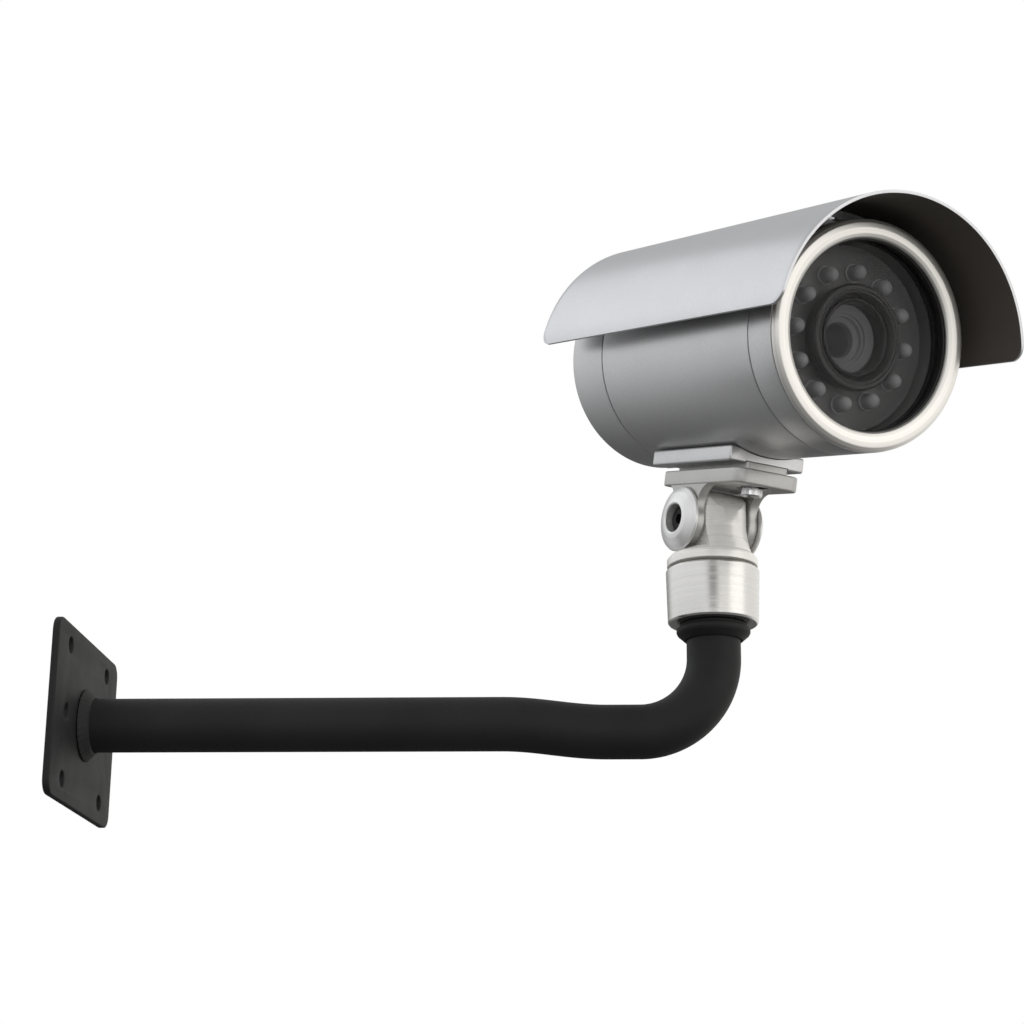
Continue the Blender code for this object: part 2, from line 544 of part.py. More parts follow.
def make_leds():
    front = LED_BOARD_X + 1.6
    board = sheet("led_board", [circle(36.0, 32), circle(17.0, 20)], 1.6, "circuit_board",
                  BARREL_AXIS, at(LED_BOARD_X + 0.8) @ FACING_X)
    base = [(0, front - 0.4), (LED_R, front - 0.4), (LED_R, front + 4.2), (0, front + 6.9)]
    for i in range(LED_COUNT):
        angle = 2 * pi * i / LED_COUNT
        place = at(0, LED_RING_R * cos(angle), LED_RING_R * sin(angle)) @ ALONG_X
        join(board, turned("led_%02d" % i, base, None, BARREL_AXIS, place, 8))


def make_lens():
    ring("lens_hood", [
        (15.8, LED_BOARD_X + 1.9), (19.4, LED_BOARD_X + 1.9), (19.4, 82.9), (20.7, 83.4),
        (20.7, 85.2), (19.8, GLASS_X - GAP), (17.4, GLASS_X - GAP), (16.6, 85.2), (15.8, 84.4)],
        "black_rubber", 32)
    ring("lens_cell", [
        (7.0, 46.0), (CELL_R, 46.0), (CELL_R, 73.4), (LENS_R, 75.2), (LENS_R, 84.6),
        (14.2, 85.0), (13.6, 84.4), (13.6, 78.4), (9.8, 77.6), (9.8, 74.2), (7.0, 73.4)],
        "black_plastic", 28)
    ring("front_lens", [(0, 83.4), (5.0, 83.1), (9.6, 82.1), (13.3, 80.6), (13.3, 79.4), (9.9, 78.9),
                        (0, 78.9)], "lens_glass", 28)
    ring("rear_lens", [(0, 72.4), (4.0, 72.0), (6.7, 71.0), (6.7, 66.8), (0, 66.2)], "lens_glass", 28)
    ring("focus_ring", band(CELL_R + GAP, 15.2, 53.0, 64.0), "black_plastic", 28)
    holder = ring("lens_holder", band(CELL_R + GAP, 14.0, 41.3, 52.7), "black_plastic", 28)
    join(holder, box("holder_foot_a", (41.3, -14, -15.5), (44.0, -11.9, 15.5), None, BARREL_AXIS),
         box("holder_foot_b", (41.3, 11.9, -15.5), (44.0, 14, 15.5), None, BARREL_AXIS))

    housing = box("ircut_housing", (32.0, -14, -14), (41.0, 18, 14), "black_plastic", BARREL_AXIS)
    cut(housing, box("shutter_slot", (34.8, -6.5, -6.5), (38.2, 20, 6.5), None, BARREL_AXIS),
        rod("light_path", 5.2, 25, 50, None, BARREL_AXIS, ALONG_X, 24))
    frame = box("ircut_frame", (35.2, -6.0, -6.1), (37.8, 6.0, 6.1), "black_plastic", BARREL_AXIS)
    cut(frame, rod("filter_seat", 5.1, 30, 42, None, BARREL_AXIS, ALONG_X, 24))
    rod("ircut_filter", 4.8, 35.9, 37.1, "lens_glass", BARREL_AXIS, ALONG_X, 24)


def board(name, x, bottom=-32.4):
    rim = rounded(-20, bottom, 20, 21, 2.0)
    holes = [circle(2.4, 12, s * y, z) for y, z in RODS for s in (-1, 1)]
    return sheet(name, [rim] + holes, 1.4, "circuit_board", BARREL_AXIS, at(x + 0.7) @ FACING_X)


def make_electronics():
    board("sensor_board", SENSOR_X)
    board("main_board", 9.0)
    board("power_board", -10.0)
    box("image_sensor", (SENSOR_X + 1.7, -4.5, -4.5), (SENSOR_X + 3.4, 4.5, 4.5),
        "black_plastic", BARREL_AXIS)
    for i, (y, z) in enumerate([(s * y, z) for y, z in RODS for s in (-1, 1)], 1):
        rod("board_rod_%d" % i, 2.0, -14, SENSOR_X + 3.6, "screw_steel", BARREL_AXIS,
            at(0, y, z) @ ALONG_X, 12)
    box("board_sled", (-18, -18, -34.6), (40, 18, -32.8), "black_plastic", BARREL_AXIS)
    path = [(x, 0, 27.0) for x in (-9.0, 10.0, 40.0, 65.0)] + [(72.0, 0, 26.6), (76.0, 0, 25.0)]
    add("led_harness", tube_mesh("led_harness", path, 1.2, 2), "black_plastic", BARREL_AXIS)


# ---- sunshield --------------------------------------------------------------

def shield_section():
    """Arc of sheet seen from the front, drawn from one lower edge over the top to the other."""
    start, end = SHIELD_EDGE_ANGLE, 180 - SHIELD_EDGE_ANGLE
    outer = arc(0, -SHIELD_DROP, SHIELD_R + SHIELD_T, start, end, 5.4)
    return outer + arc(0, -SHIELD_DROP, SHIELD_R, end, start, 5.4)


def corner_cutter(name, x, inward):
    """Rounds both lower corners at one end: a block seen from the side, less a quarter disc."""
    edge = (SHIELD_R + SHIELD_T / 2) * sin(radians(SHIELD_EDGE_ANGLE)) - SHIELD_DROP
    r = SHIELD_CORNER
    quarter = arc(x + inward * r, edge + r, r, 90 + 90 * inward, 270, 15)
    if inward < 0:
        quarter = arc(x - r, edge + r, r, 0, -90, 15)
    out = x - inward * 4
    points = [(out, edge + r)] + quarter + [(x + inward * r, edge - 4), (out, edge - 4)]
    return sheet(name, [points], 140, None, BARREL_AXIS, FACING_Y)


def make_sunshield():
    length = SHIELD_FRONT - SHIELD_REAR
    middle = at((SHIELD_FRONT + SHIELD_REAR) / 2)
    shield = sheet("sunshield", [shield_section()], length, "silver_paint", BARREL_AXIS,
                   middle @ FACING_X)
    cut(shield, corner_cutter("front_corners", SHIELD_FRONT, -1),
        corner_cutter("rear_corners", SHIELD_REAR, 1))
    top = SHIELD_R - SHIELD_DROP
    for i, x in enumerate(SHIELD_SCREWS):
        reach = SHIELD_TRAVEL + SHIELD_SLOT_R
        slot = slot_outline(x - reach, x + reach, SHIELD_SLOT_R)
        cut(shield, sheet("shield_slot_%d" % i, [slot], 8, None, BARREL_AXIS, at(z=top)))

    pad = box("shield_pad", (-26, -7, 42), (58, 7, top - GAP - 0.4), "silver_paint", BARREL_AXIS)
    cut(pad, rod("pad_saddle", BARREL_R + GAP, -70, 70, None, BARREL_AXIS, ALONG_X, 96))
    head = top + SHIELD_T + GAP
    for name, x in zip(("rear", "front"), SHIELD_SCREWS):
        cut(pad, rod("pad_hole_" + name, SHIELD_SCREW_R + GAP, 30, 60, None, BARREL_AXIS, at(x)))
        profile = [(0, head + 2.4), (2.4, head + 2.2), (3.8, head + 1.0), (3.8, head),
                   (SHIELD_SCREW_R, head), (SHIELD_SCREW_R, RIB_HIGH + 1), (0, RIB_HIGH + 1)]
        screw = turned("shield_screw_" + name, profile, "screw_steel", BARREL_AXIS, at(x), 20)
        cut(screw, hex_prism("shield_socket_" + name, 2.5, head + 1.0, head + 6, None,
                             BARREL_AXIS, at(x)))


make_bracket()
make_swivel()
make_yoke()
make_rail()
make_barrel()
make_gland()
make_leds()
make_lens()
make_electronics()
make_sunshield()
bpy.context.view_layer.update()
print("pieces:", len(PARTS.objects))
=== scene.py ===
# %% [markdown]
# # A bullet security camera on a bent wall arm
# A black steel arm stands out from a wall plate and turns up into a swivel. The swivel pans, a
# yoke on top of it tilts, and the yoke carries a silver barrel under a rolled sunshield. The
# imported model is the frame: every body, node and joint is already in its place, in metres, so
# this lesson only gives each piece its finer shape and its finish.

# %% Load the frame
from math import atan2, ceil, cos, pi, radians, sin, sqrt, tan

import bmesh
import bpy
from mathutils import Matrix, Vector


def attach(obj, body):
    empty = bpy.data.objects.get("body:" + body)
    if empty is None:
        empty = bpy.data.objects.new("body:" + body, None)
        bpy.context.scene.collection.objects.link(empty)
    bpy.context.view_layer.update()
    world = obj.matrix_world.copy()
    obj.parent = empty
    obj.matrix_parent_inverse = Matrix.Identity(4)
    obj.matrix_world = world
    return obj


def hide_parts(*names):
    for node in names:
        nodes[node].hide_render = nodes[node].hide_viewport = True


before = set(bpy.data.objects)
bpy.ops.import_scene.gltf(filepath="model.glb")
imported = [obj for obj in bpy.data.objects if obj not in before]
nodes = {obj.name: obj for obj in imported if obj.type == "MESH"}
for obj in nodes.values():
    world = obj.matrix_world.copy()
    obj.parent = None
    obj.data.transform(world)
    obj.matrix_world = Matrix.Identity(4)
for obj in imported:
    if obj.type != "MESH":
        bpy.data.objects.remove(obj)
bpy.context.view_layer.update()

# %% [markdown]
# ## Where things stand
# Three axes carry what moves. The swivel stands on the arm's stub and is panned away from the
# wall, the yoke hangs on the tilt bolt, and the barrel's own axis runs parallel to the yoke's
# forward direction. A piece is drawn flat and upright in one of these frames, then moved into
# the shared one by a matrix, and the move is written into its mesh.

# %% Axes of the object
MM = 0.001
ARM_REACH, TILT_HEIGHT, BARREL_HEIGHT = 260.0, 83.3, 70.9
PAN_TURN, TILT_TURN = -56.6, 13.4


def at(x=0.0, y=0.0, z=0.0):
    return Matrix.Translation((x * MM, y * MM, z * MM))


WORLD = Matrix.Identity(4)
STUB = at(ARM_REACH)
SWIVEL = STUB @ Matrix.Rotation(radians(PAN_TURN), 4, "Z")
YOKE = SWIVEL @ at(z=TILT_HEIGHT) @ Matrix.Rotation(radians(TILT_TURN), 4, "Y")
BARREL = YOKE @ at(z=BARREL_HEIGHT)
ALONG_X = Matrix.Rotation(pi / 2, 4, "Y")      # a lathe's +Z becomes +X
ALONG_Y = Matrix.Rotation(-pi / 2, 4, "X")     # a lathe's +Z becomes +Y
FACING_Y = Matrix.Rotation(pi / 2, 4, "X")     # a flat outline stands up in XZ
FACING_X = Matrix(((0, 0, 1, 0), (1, 0, 0, 0), (0, 1, 0, 0), (0, 0, 0, 1)))
print("barrel axis starts at", [round(c, 4) for c in BARREL.translation])

# %% [markdown]
# ### Short helpers
# Objects, plain meshes and node trees are made in the same way all through the lesson.

# %% Objects, meshes and nodes
def linked(name, data):
    """An object on this mesh, curve, light or camera, linked into the scene."""
    made = bpy.data.objects.new(name, data)
    bpy.context.scene.collection.objects.link(made)
    return made


def plain_mesh(thing):
    """The mesh that an object's curve or modifiers come out as."""
    ready = thing.evaluated_get(bpy.context.evaluated_depsgraph_get())
    return bpy.data.meshes.new_from_object(ready)


def add(tree, kind, **sockets):
    """A new node with the inputs named here set; an underscore stands for a space."""
    node = tree.nodes.new(kind)
    for label, value in sockets.items():
        node.inputs[label.replace("_", " ")].default_value = value
    return node


def join(tree, *steps):
    """Links each (node, its output, next node, its input)."""
    for start, given, end, taken in steps:
        tree.links.new(start.outputs[given], end.inputs[taken])


print("helpers ready")

# %% [markdown]
# ## Camera
# The camera stands a little below the arm and looks up through a long lens, so the arm's
# underside and the barrel's belly show. Its place, aim and small roll are one matrix.

# %% Camera from azimuth, elevation and roll
CAMERA_PLACE = Vector((0.2426, -0.8783, -0.1796))
AZIMUTH, ELEVATION, ROLL = radians(4.25), radians(-17.0), radians(0.63)
LENS_MM, SENSOR_MM = 77.82, 36.0


def camera_matrix():
    back = Vector((sin(AZIMUTH) * cos(ELEVATION), -cos(AZIMUTH) * cos(ELEVATION), sin(ELEVATION)))
    right = (-back).cross(Vector((0, 0, 1))).normalized()
    up = right.cross(-back)
    level, lean = cos(ROLL), sin(ROLL)
    columns = (level * right + lean * up, level * up - lean * right, back, CAMERA_PLACE)
    return Matrix([[column[row] for column in columns] for row in range(3)] + [[0, 0, 0, 1]])


lens = bpy.data.cameras.new("portrait_lens")
lens.lens, lens.sensor_width, lens.clip_start = LENS_MM, SENSOR_MM, 0.01
camera = linked("portrait_camera", lens)
camera.matrix_world = camera_matrix()
bpy.context.scene.camera = camera
print("camera stands at", [round(c, 3) for c in camera.location])

# %% [markdown]
# ## Floor, room and lights
# The object hangs on a wall, so the floor lies well below it. The room is white to the eye.
# Satin metal only looks like metal when its surroundings vary, so what it mirrors is four walls
# whose brightness runs with height, and a darker band straight ahead. Area lights at the left,
# right and top add broad highlights, and a low strip in front adds a thin one.

# %% Floor and studio room
FLOOR_Z = -0.32


def plain_floor(height, half=2.5):
    mesh = bpy.data.meshes.new("studio_floor")
    corners = [(x * half, y * half, height) for x, y in ((-1, -1), (1, -1), (1, 1), (-1, 1))]
    mesh.from_pydata(corners, [], [(0, 1, 2, 3)])
    floor = linked("studio_floor", mesh)
    floor.visible_glossy = floor.visible_diffuse = False
    paper = bpy.data.materials.new("pale_paper")
    paper.use_nodes = True
    shader = paper.node_tree.nodes["Principled BSDF"]
    shader.inputs["Base Color"].default_value = (0.86, 0.86, 0.85, 1)
    shader.inputs["Roughness"].default_value = 0.9
    mesh.materials.append(paper)


# Between which parts of a direction's X or Y one wall gives way to another
SIDES_X, AHEAD_X, AHEAD_Y = (-0.3, 0.3), (0.30, 0.06), (-0.3, -0.6)
BACK_X, BACK_Y = (0.35, 0.10), (0.5, 0.9)


def studio_world(room):
    """White to the eye; mirrored, four walls whose brightness runs with height."""
    world = bpy.data.worlds.new("studio")
    world.use_nodes = True
    tree = world.node_tree
    tree.nodes.clear()
    wire = tree.links.new

    def step(value, ends, kind="SMOOTHSTEP"):
        span = add(tree, "ShaderNodeMapRange", From_Min=ends[0], From_Max=ends[1])
        span.interpolation_type = kind
        wire(value, span.inputs["Value"])
        return span.outputs["Result"]

    def sums(operation, *values):
        node = add(tree, "ShaderNodeMath")
        node.operation = operation
        for slot, value in zip(node.inputs, values):
            wire(value, slot)
        return node.outputs[0]

    def wall(tint, stops):
        ramp = add(tree, "ShaderNodeValToRGB")
        wire(rise, ramp.inputs["Fac"])
        band = ramp.color_ramp.elements
        for height, _ in stops[1:-1]:
            band.new((height + 1) / 2)
        for element, (height, shade) in zip(band, stops):
            element.position, element.color = (height + 1) / 2, (*(shade * c for c in tint), 1)
        return ramp.outputs["Color"]

    def blend(*values):
        mix = add(tree, "ShaderNodeMix")
        mix.data_type = "RGBA"
        for slot, value in zip((0, 6, 7), values):
            wire(value, mix.inputs[slot])
        return mix.outputs[2]

    split = add(tree, "ShaderNodeSeparateXYZ")
    join(tree, (add(tree, "ShaderNodeTexCoord"), "Generated", split, 0))
    x, y, z = split.outputs
    rise = step(z, (-1.0, 1.0), "LINEAR")
    ahead = sums("MULTIPLY", step(sums("ABSOLUTE", x), AHEAD_X), step(y, AHEAD_Y))
    behind = sums("MULTIPLY", step(y, BACK_Y), step(x, BACK_X))
    left, right, back, front = (wall(*room[name]) for name in ("left", "right", "back", "front"))
    around = blend(behind, blend(step(x, SIDES_X), left, right), back)
    mirrored, seen = add(tree, "ShaderNodeBackground"), add(tree, "ShaderNodeBackground", Color=(1, 1, 1, 1))
    path, mix, out = (add(tree, "ShaderNode" + kind) for kind in ("LightPath", "MixShader", "OutputWorld"))
    wire(blend(ahead, around, front), mirrored.inputs["Color"])
    join(tree, (path, "Is Camera Ray", mix, 0), (mirrored, 0, mix, 1), (seen, 0, mix, 2),
         (mix, 0, out, "Surface"))
    bpy.context.scene.world = world


plain_floor(FLOOR_Z)
COOL, WARM, EVEN = (0.98, 0.99, 1.0), (1.0, 0.985, 0.96), (1.0, 1.0, 1.0)
studio_world({                                 # brightness at the sine of each height
    "left": (COOL, [(-1.0, 0.12), (-0.6, 0.20), (-0.3, 0.42), (0.0, 0.80), (0.3, 1.15), (0.6, 0.85),
                    (1.0, 0.50)]),
    "right": (WARM, [(-1.0, 0.15), (-0.6, 0.28), (-0.35, 0.95), (0.3, 1.10), (0.75, 1.05), (1.0, 0.50)]),
    "back": (EVEN, [(-1.0, 0.08), (-0.2, 0.12), (0.0, 0.15), (0.3, 0.34), (0.6, 0.45), (1.0, 0.45)]),
    "front": (EVEN, [(-1.0, 0.10), (-0.2, 0.25), (0.15, 0.22), (0.5, 0.25), (0.8, 0.50), (1.0, 0.50)])})
bpy.context.scene.view_settings.view_transform = "Standard"
print("floor at", FLOOR_Z)

# %% Soft lights
HEAD = Vector((0.26, -0.02, 0.13))             # about where the swivel and barrel are


def softbox(name, azimuth, elevation, distance, width, height, power, colour=(1, 1, 1)):
    """An area light on a sphere round the head, facing it; azimuth 0 is in front."""
    light = bpy.data.lights.new(name, "AREA")
    light.shape, light.size, light.size_y = "RECTANGLE", width, height
    light.energy, light.color = power, colour
    lamp = linked(name, light)
    a, e = radians(azimuth), radians(elevation)
    away = Vector((sin(a) * cos(e), -cos(a) * cos(e), sin(e)))
    lamp.location = HEAD + away * distance
    lamp.rotation_mode = "QUATERNION"
    lamp.rotation_quaternion = (-away).to_track_quat("-Z", "Y")


softbox("left_softbox", -112, 42, 1.6, 1.4, 0.8, 1.8, (0.96, 0.98, 1.0))
softbox("right_softbox", 62, 5, 1.5, 1.1, 1.6, 3.4, (1.0, 0.975, 0.94))
softbox("front_strip", 0, -6, 1.8, 1.2, 0.16, 2.4)
softbox("top_softbox", 20, 75, 1.4, 1.0, 1.0, 1.5)

# %% [markdown]
# ## Finishes
# Seven things are on the real camera's surfaces: powder coat, cast and turned aluminium, silver
# paint, bright and near-black steel, black plastic and rubber, glass, and circuit board. Each is
# a Principled shader. Even numbers sit on the shader's own sockets, and grain, flakes and lathe
# lines come from noise on object coordinates, so that they stay on the metal as it moves.

# %% A finish and what may be added to it
def finish(name, colour, roughness, metallic=0.0, **sockets):
    """A Principled material with its even values on the shader's own sockets."""
    material = bpy.data.materials.new(name)
    material.use_nodes = True
    shader = material.node_tree.nodes["Principled BSDF"]
    shader.inputs["Base Color"].default_value = (*colour, 1)
    shader.inputs["Roughness"].default_value = roughness
    shader.inputs["Metallic"].default_value = metallic
    for socket, value in sockets.items():
        shader.inputs[socket.replace("_", " ")].default_value = value
    material.diffuse_color = (*colour, 1)
    return material


def noise(material, scale, detail=3.0):
    """Noise on object coordinates."""
    tree = material.node_tree
    cloud = add(tree, "ShaderNodeTexNoise", Scale=scale, Detail=detail)
    join(tree, (add(tree, "ShaderNodeTexCoord"), "Object", cloud, "Vector"))
    return cloud.outputs["Fac"]


def about_axis(tree, axis):
    """The place in an axis's own frame, and the distance from that axis."""
    home = axis.inverted()
    mapping = add(tree, "ShaderNodeMapping", Location=home.translation, Rotation=home.to_euler())
    flat, reach = add(tree, "ShaderNodeVectorMath"), add(tree, "ShaderNodeVectorMath")
    flat.operation, reach.operation = "MULTIPLY", "LENGTH"
    flat.inputs[1].default_value = (1, 1, 0)
    join(tree, (add(tree, "ShaderNodeTexCoord"), "Object", mapping, "Vector"),
         (mapping, "Vector", flat, 0), (flat, "Vector", reach, 0))
    return mapping.outputs["Vector"], reach.outputs["Value"]


def lathe_noise(material, axis, scale):
    """Noise that only changes with the distance from an axis and along it: lathe lines."""
    tree = material.node_tree
    local, radius = about_axis(tree, axis)
    split, pair = add(tree, "ShaderNodeSeparateXYZ"), add(tree, "ShaderNodeCombineXYZ")
    cloud = add(tree, "ShaderNodeTexNoise", Scale=scale, Detail=2.0)
    cloud.noise_dimensions = "2D"
    tree.links.new(local, split.inputs[0])
    tree.links.new(radius, pair.inputs["X"])
    join(tree, (split, "Z", pair, "Y"), (pair, "Vector", cloud, "Vector"))
    return cloud.outputs["Fac"]


def drive(material, socket, pattern, node, taken, given):
    """Sends a pattern through a node into one of the shader's sockets."""
    tree = material.node_tree
    tree.links.new(pattern, node.inputs[taken])
    tree.links.new(node.outputs[given], tree.nodes["Principled BSDF"].inputs[socket])


def shade_by(material, pattern, low, high):
    """The base colour runs between two shades with a pattern."""
    ramp = add(material.node_tree, "ShaderNodeValToRGB")
    for end, place, shade in zip(ramp.color_ramp.elements, (0.3, 0.7), (low, high)):
        end.position, end.color = place, (*shade, 1)
    drive(material, "Base Color", pattern, ramp, "Fac", "Color")


def shade_by_radius(material, axis, edge_mm, inside, outside):
    """One colour within a radius about an axis, and another beyond it."""
    tree = material.node_tree
    inner = add(tree, "ShaderNodeMath")
    inner.operation = "LESS_THAN"
    inner.inputs[1].default_value = edge_mm * MM
    tree.links.new(about_axis(tree, axis)[1], inner.inputs[0])
    shade_by(material, inner.outputs[0], outside, inside)


def roughen_by(material, pattern, low, high):
    span = add(material.node_tree, "ShaderNodeMapRange", From_Min=0.25, From_Max=0.75, To_Min=low, To_Max=high)
    drive(material, "Roughness", pattern, span, "Value", "Result")


def bump_by(material, pattern, depth_mm, strength):
    bump = add(material.node_tree, "ShaderNodeBump", Strength=strength, Distance=depth_mm * MM)
    drive(material, "Normal", pattern, bump, "Height", "Normal")


print("finish helpers ready")

# %% [markdown]
# ### Painted metal
# Powder coat is black, satin and slightly orange-peeled. The silver paint has fine aluminium
# flakes: tiny light and dark specks and a very shallow bump break up its highlights.

# %% Powder coat and silver paint
def grained(name, low, high, roughness, metallic, shade, rough, bump, **sockets):
    """A finish varied by noise; the last three are (scale, detail) for its shade, (scale,
    swing) for its roughness or None, and (scale, detail, depth, strength) for its surface."""
    made = finish(name, high, roughness, metallic, **sockets)
    shade_by(made, noise(made, *shade), low, high)
    if rough:
        roughen_by(made, noise(made, rough[0]), roughness - rough[1], roughness + rough[1])
    bump_by(made, noise(made, *bump[:2]), *bump[2:])
    return made


FLAKES = 0.85, (2600.0, 2.0), (60.0, 0.03), (2200.0, 1.0, 0.006, 0.35)
POWDER = grained("black_powder_coat", (0.012, 0.012, 0.0125), (0.016, 0.016, 0.0165), 0.60, 0.0,
                 (35.0, 3.0), (90.0, 0.04), (1100.0, 2.0, 0.035, 0.5), Specular_IOR_Level=0.22)
SILVER = grained("silver_paint", (0.50, 0.50, 0.505), (0.60, 0.60, 0.60), 0.36, *FLAKES)
SHADE_SILVER = grained("sunshield_silver", (0.50, 0.505, 0.52), (0.58, 0.585, 0.60), 0.31, *FLAKES)
# Dark brown-black for the shield's inner faces from 70 mm forward.
INNER_BLACK = finish("shield_inner_dark", (0.085, 0.072, 0.062), 0.60)
bump_by(INNER_BLACK, noise(INNER_BLACK, 1400.0, 2.0), 0.02, 0.4)
print("painted:", POWDER.name, SILVER.name, SHADE_SILVER.name, INNER_BLACK.name)

# %% [markdown]
# ### Bare metal
# Cast pieces are fine-blasted and clear-coated. Turned faces carry lathe lines, rings about
# their own axis, so each gets its axis as a matrix. Screws are bright, and the tilt bolt near-black.

# %% Cast, turned and screw metals
def turned_metal(name, axis, colour, roughness, lines=1500.0, depth=0.004, metallic=0.92):
    metal = finish(name, colour, roughness, metallic)
    rings = lathe_noise(metal, axis, lines)
    dark = tuple(c * 0.93 for c in colour)
    shade_by(metal, rings, dark, colour)
    roughen_by(metal, lathe_noise(metal, axis, lines * 0.4), roughness - 0.04, roughness + 0.05)
    bump_by(metal, rings, depth, 0.5)
    return metal


CAST = grained("satin_die_cast", (0.465, 0.46035, 0.4464), (0.50, 0.495, 0.48), 0.38, 0.60,
               (1300.0, 3.0), (80.0, 0.04), (1700.0, 2.0, 0.012, 0.4))
COLLAR_METAL = turned_metal("collar_turned", STUB, (0.68, 0.67, 0.65), 0.26, depth=0.002)
STALK_METAL = turned_metal("stalk_turned", SWIVEL, (0.95, 0.935, 0.90), 0.30, depth=0.002, metallic=0.25)
CAP_METAL = turned_metal("cap_turned", YOKE @ ALONG_Y, (0.82, 0.82, 0.805), 0.32, metallic=0.6)
BEZEL_METAL = turned_metal("bezel_turned", BARREL @ ALONG_X, (0.82, 0.805, 0.77), 0.44, 1200.0)
SCREW = turned_metal("bright_screw_steel", WORLD, (0.62, 0.62, 0.62), 0.26)
# Near-black steel, used for the tilt bolt.
BLACK_SCREW = finish("near_black_bolt_steel", (0.008, 0.008, 0.008), 0.55, 0.0, Specular_IOR_Level=0.3)
bump_by(BLACK_SCREW, noise(BLACK_SCREW, 1500.0), 0.01, 0.4)
print("metals:", CAST.name, COLLAR_METAL.name, CAP_METAL.name, BEZEL_METAL.name)

# %% [markdown]
# ### Plastics, rubber, glass and boards
# Moulded parts have a faint grain. The window is a thin smoked slab that mirrors the room and
# lets the lamps faintly through. The lenses are clearer, with a coating that shines violet.

# %% Dark parts and glass
def moulded(name, colour, roughness, grain=1600.0, depth=0.02):
    dark = tuple(c * 0.85 for c in colour)
    return grained(name, dark, colour, roughness, 0.0, (200.0, 3.0), None, (grain, 2.0, depth, 0.4))


PLASTIC = moulded("black_plastic", (0.025, 0.025, 0.026), 0.45)
HOOD_PLASTIC = moulded("hood_black", (0.007, 0.007, 0.0075), 0.42, 1600.0, 0.004)
CELL_GREY, CELL_GREY_R = (0.34, 0.34, 0.345), 13.2     # grey within this radius of the axis, near-black beyond
CELL_METAL = finish("lens_cell_grey_black", CELL_GREY, 0.40)
shade_by_radius(CELL_METAL, BARREL @ ALONG_X, CELL_GREY_R, CELL_GREY, (0.010, 0.010, 0.010))
RUBBER = moulded("black_rubber", (0.014, 0.014, 0.014), 0.62, 900.0)
NYLON = moulded("nylon_washer", (0.62, 0.61, 0.57), 0.5)
WINDOW = finish("smoked_window", (0.020, 0.020, 0.021), 0.03, 0.0, Alpha=0.12)
roughen_by(WINDOW, noise(WINDOW, 40.0), 0.02, 0.05)
LENS = finish("coated_lens", (0.020, 0.020, 0.024), 0.04, 0.0, Alpha=0.12, Coat_Weight=0.6,
              Coat_Tint=(0.85, 0.80, 1.0, 1))
shade_by(LENS, noise(LENS, 120.0), (0.018, 0.018, 0.022), (0.024, 0.024, 0.028))
BOARD = moulded("solder_resist", (0.018, 0.030, 0.022), 0.35)
LAMP_BOARD = moulded("grey_solder_resist", (0.105, 0.106, 0.108), 0.45, 1600.0, 0.004)
LAMP = finish("lamp_epoxy", (0.46, 0.465, 0.475), 0.15, 0.0, Alpha=0.60)
shade_by(LAMP, noise(LAMP, 500.0), (0.42, 0.425, 0.435), (0.50, 0.505, 0.515))
print("dark parts and glass ready")

# %% [markdown]
# ## Making and settling a piece
# Every finished piece is one mesh with its place written into it, on an object at the origin.
# It rides on its body and stands for its node or nodes.

# %% Settle a piece on its body
def piece_from(name, mesh, material):
    mesh.materials.clear()
    mesh.materials.append(material)
    return linked(name, mesh)


def smooth(mesh, angle=32.0):
    mesh.shade_smooth()
    mesh.set_sharp_from_angle(angle=radians(angle))


def close_up(mesh):
    """Merges doubles and turns every face outwards."""
    work = bmesh.new()
    work.from_mesh(mesh)
    bmesh.ops.remove_doubles(work, verts=work.verts, dist=0.000002)
    bmesh.ops.recalc_face_normals(work, faces=work.faces)
    work.to_mesh(mesh)
    work.free()


def settle(piece, body, slot, *stands_for):
    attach(piece, body)
    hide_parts(*stands_for)
    print(piece.name, "on", body, "-", len(piece.data.polygons), "faces")
    return piece


# %% [markdown]
# ### Turned pieces
# Collars, caps, rings and the barrel are turned on a lathe. Their outline is a list of points
# (radius, height, rounding). Rounding a corner in the outline, rather than bevelling the mesh
# later, keeps an even band of faces round each edge, where the highlight sits.

# %% Lathe
def round_corners(points, closed=True, steps=4):
    """Replaces each corner that has a rounding by a short curve."""
    made, count = [], len(points)
    for i, point in enumerate(points):
        x, y = point[0], point[1]
        r = point[2] if len(point) > 2 else 0.0
        if r <= 0 or (not closed and i in (0, count - 1)):
            made.append((x, y))
            continue
        here = Vector((x, y))
        back = Vector(points[i - 1][:2]) - here
        on = Vector(points[(i + 1) % count][:2]) - here
        half = back.angle(on) / 2
        run = min(r / max(tan(half), 0.05), back.length * 0.48, on.length * 0.48)
        a, b = here + back.normalized() * run, here + on.normalized() * run
        for k in range(steps + 1):
            t = k / steps
            made.append(tuple(a * (1 - t) ** 2 + here * 2 * t * (1 - t) + b * t ** 2))
    return made


def lathe_mesh(name, outline, turns=144):
    """Turns a closed (radius, height) outline round Z; points on the axis become poles."""
    points = round_corners(outline)
    verts, rings, faces = [], [], []
    for r, z in points:
        if r < 1e-6:
            rings.append([len(verts)] * turns)
            verts.append((0, 0, z * MM))
        else:
            rings.append(list(range(len(verts), len(verts) + turns)))
            verts += [(r * MM * cos(2 * pi * k / turns), r * MM * sin(2 * pi * k / turns), z * MM)
                      for k in range(turns)]
    for low, high in zip(rings, rings[1:] + rings[:1]):
        for k in range(turns):
            corner = [low[k], low[(k + 1) % turns], high[(k + 1) % turns], high[k]]
            face = list(dict.fromkeys(corner))
            if len(face) > 2:
                faces.append(face)
    mesh = bpy.data.meshes.new(name)
    mesh.from_pydata(verts, [], faces)
    close_up(mesh)
    return mesh


def turned(name, outline, material, place, turns=144):
    mesh = lathe_mesh(name, outline, turns)
    mesh.transform(place)
    smooth(mesh)
    return piece_from(name, mesh, material)


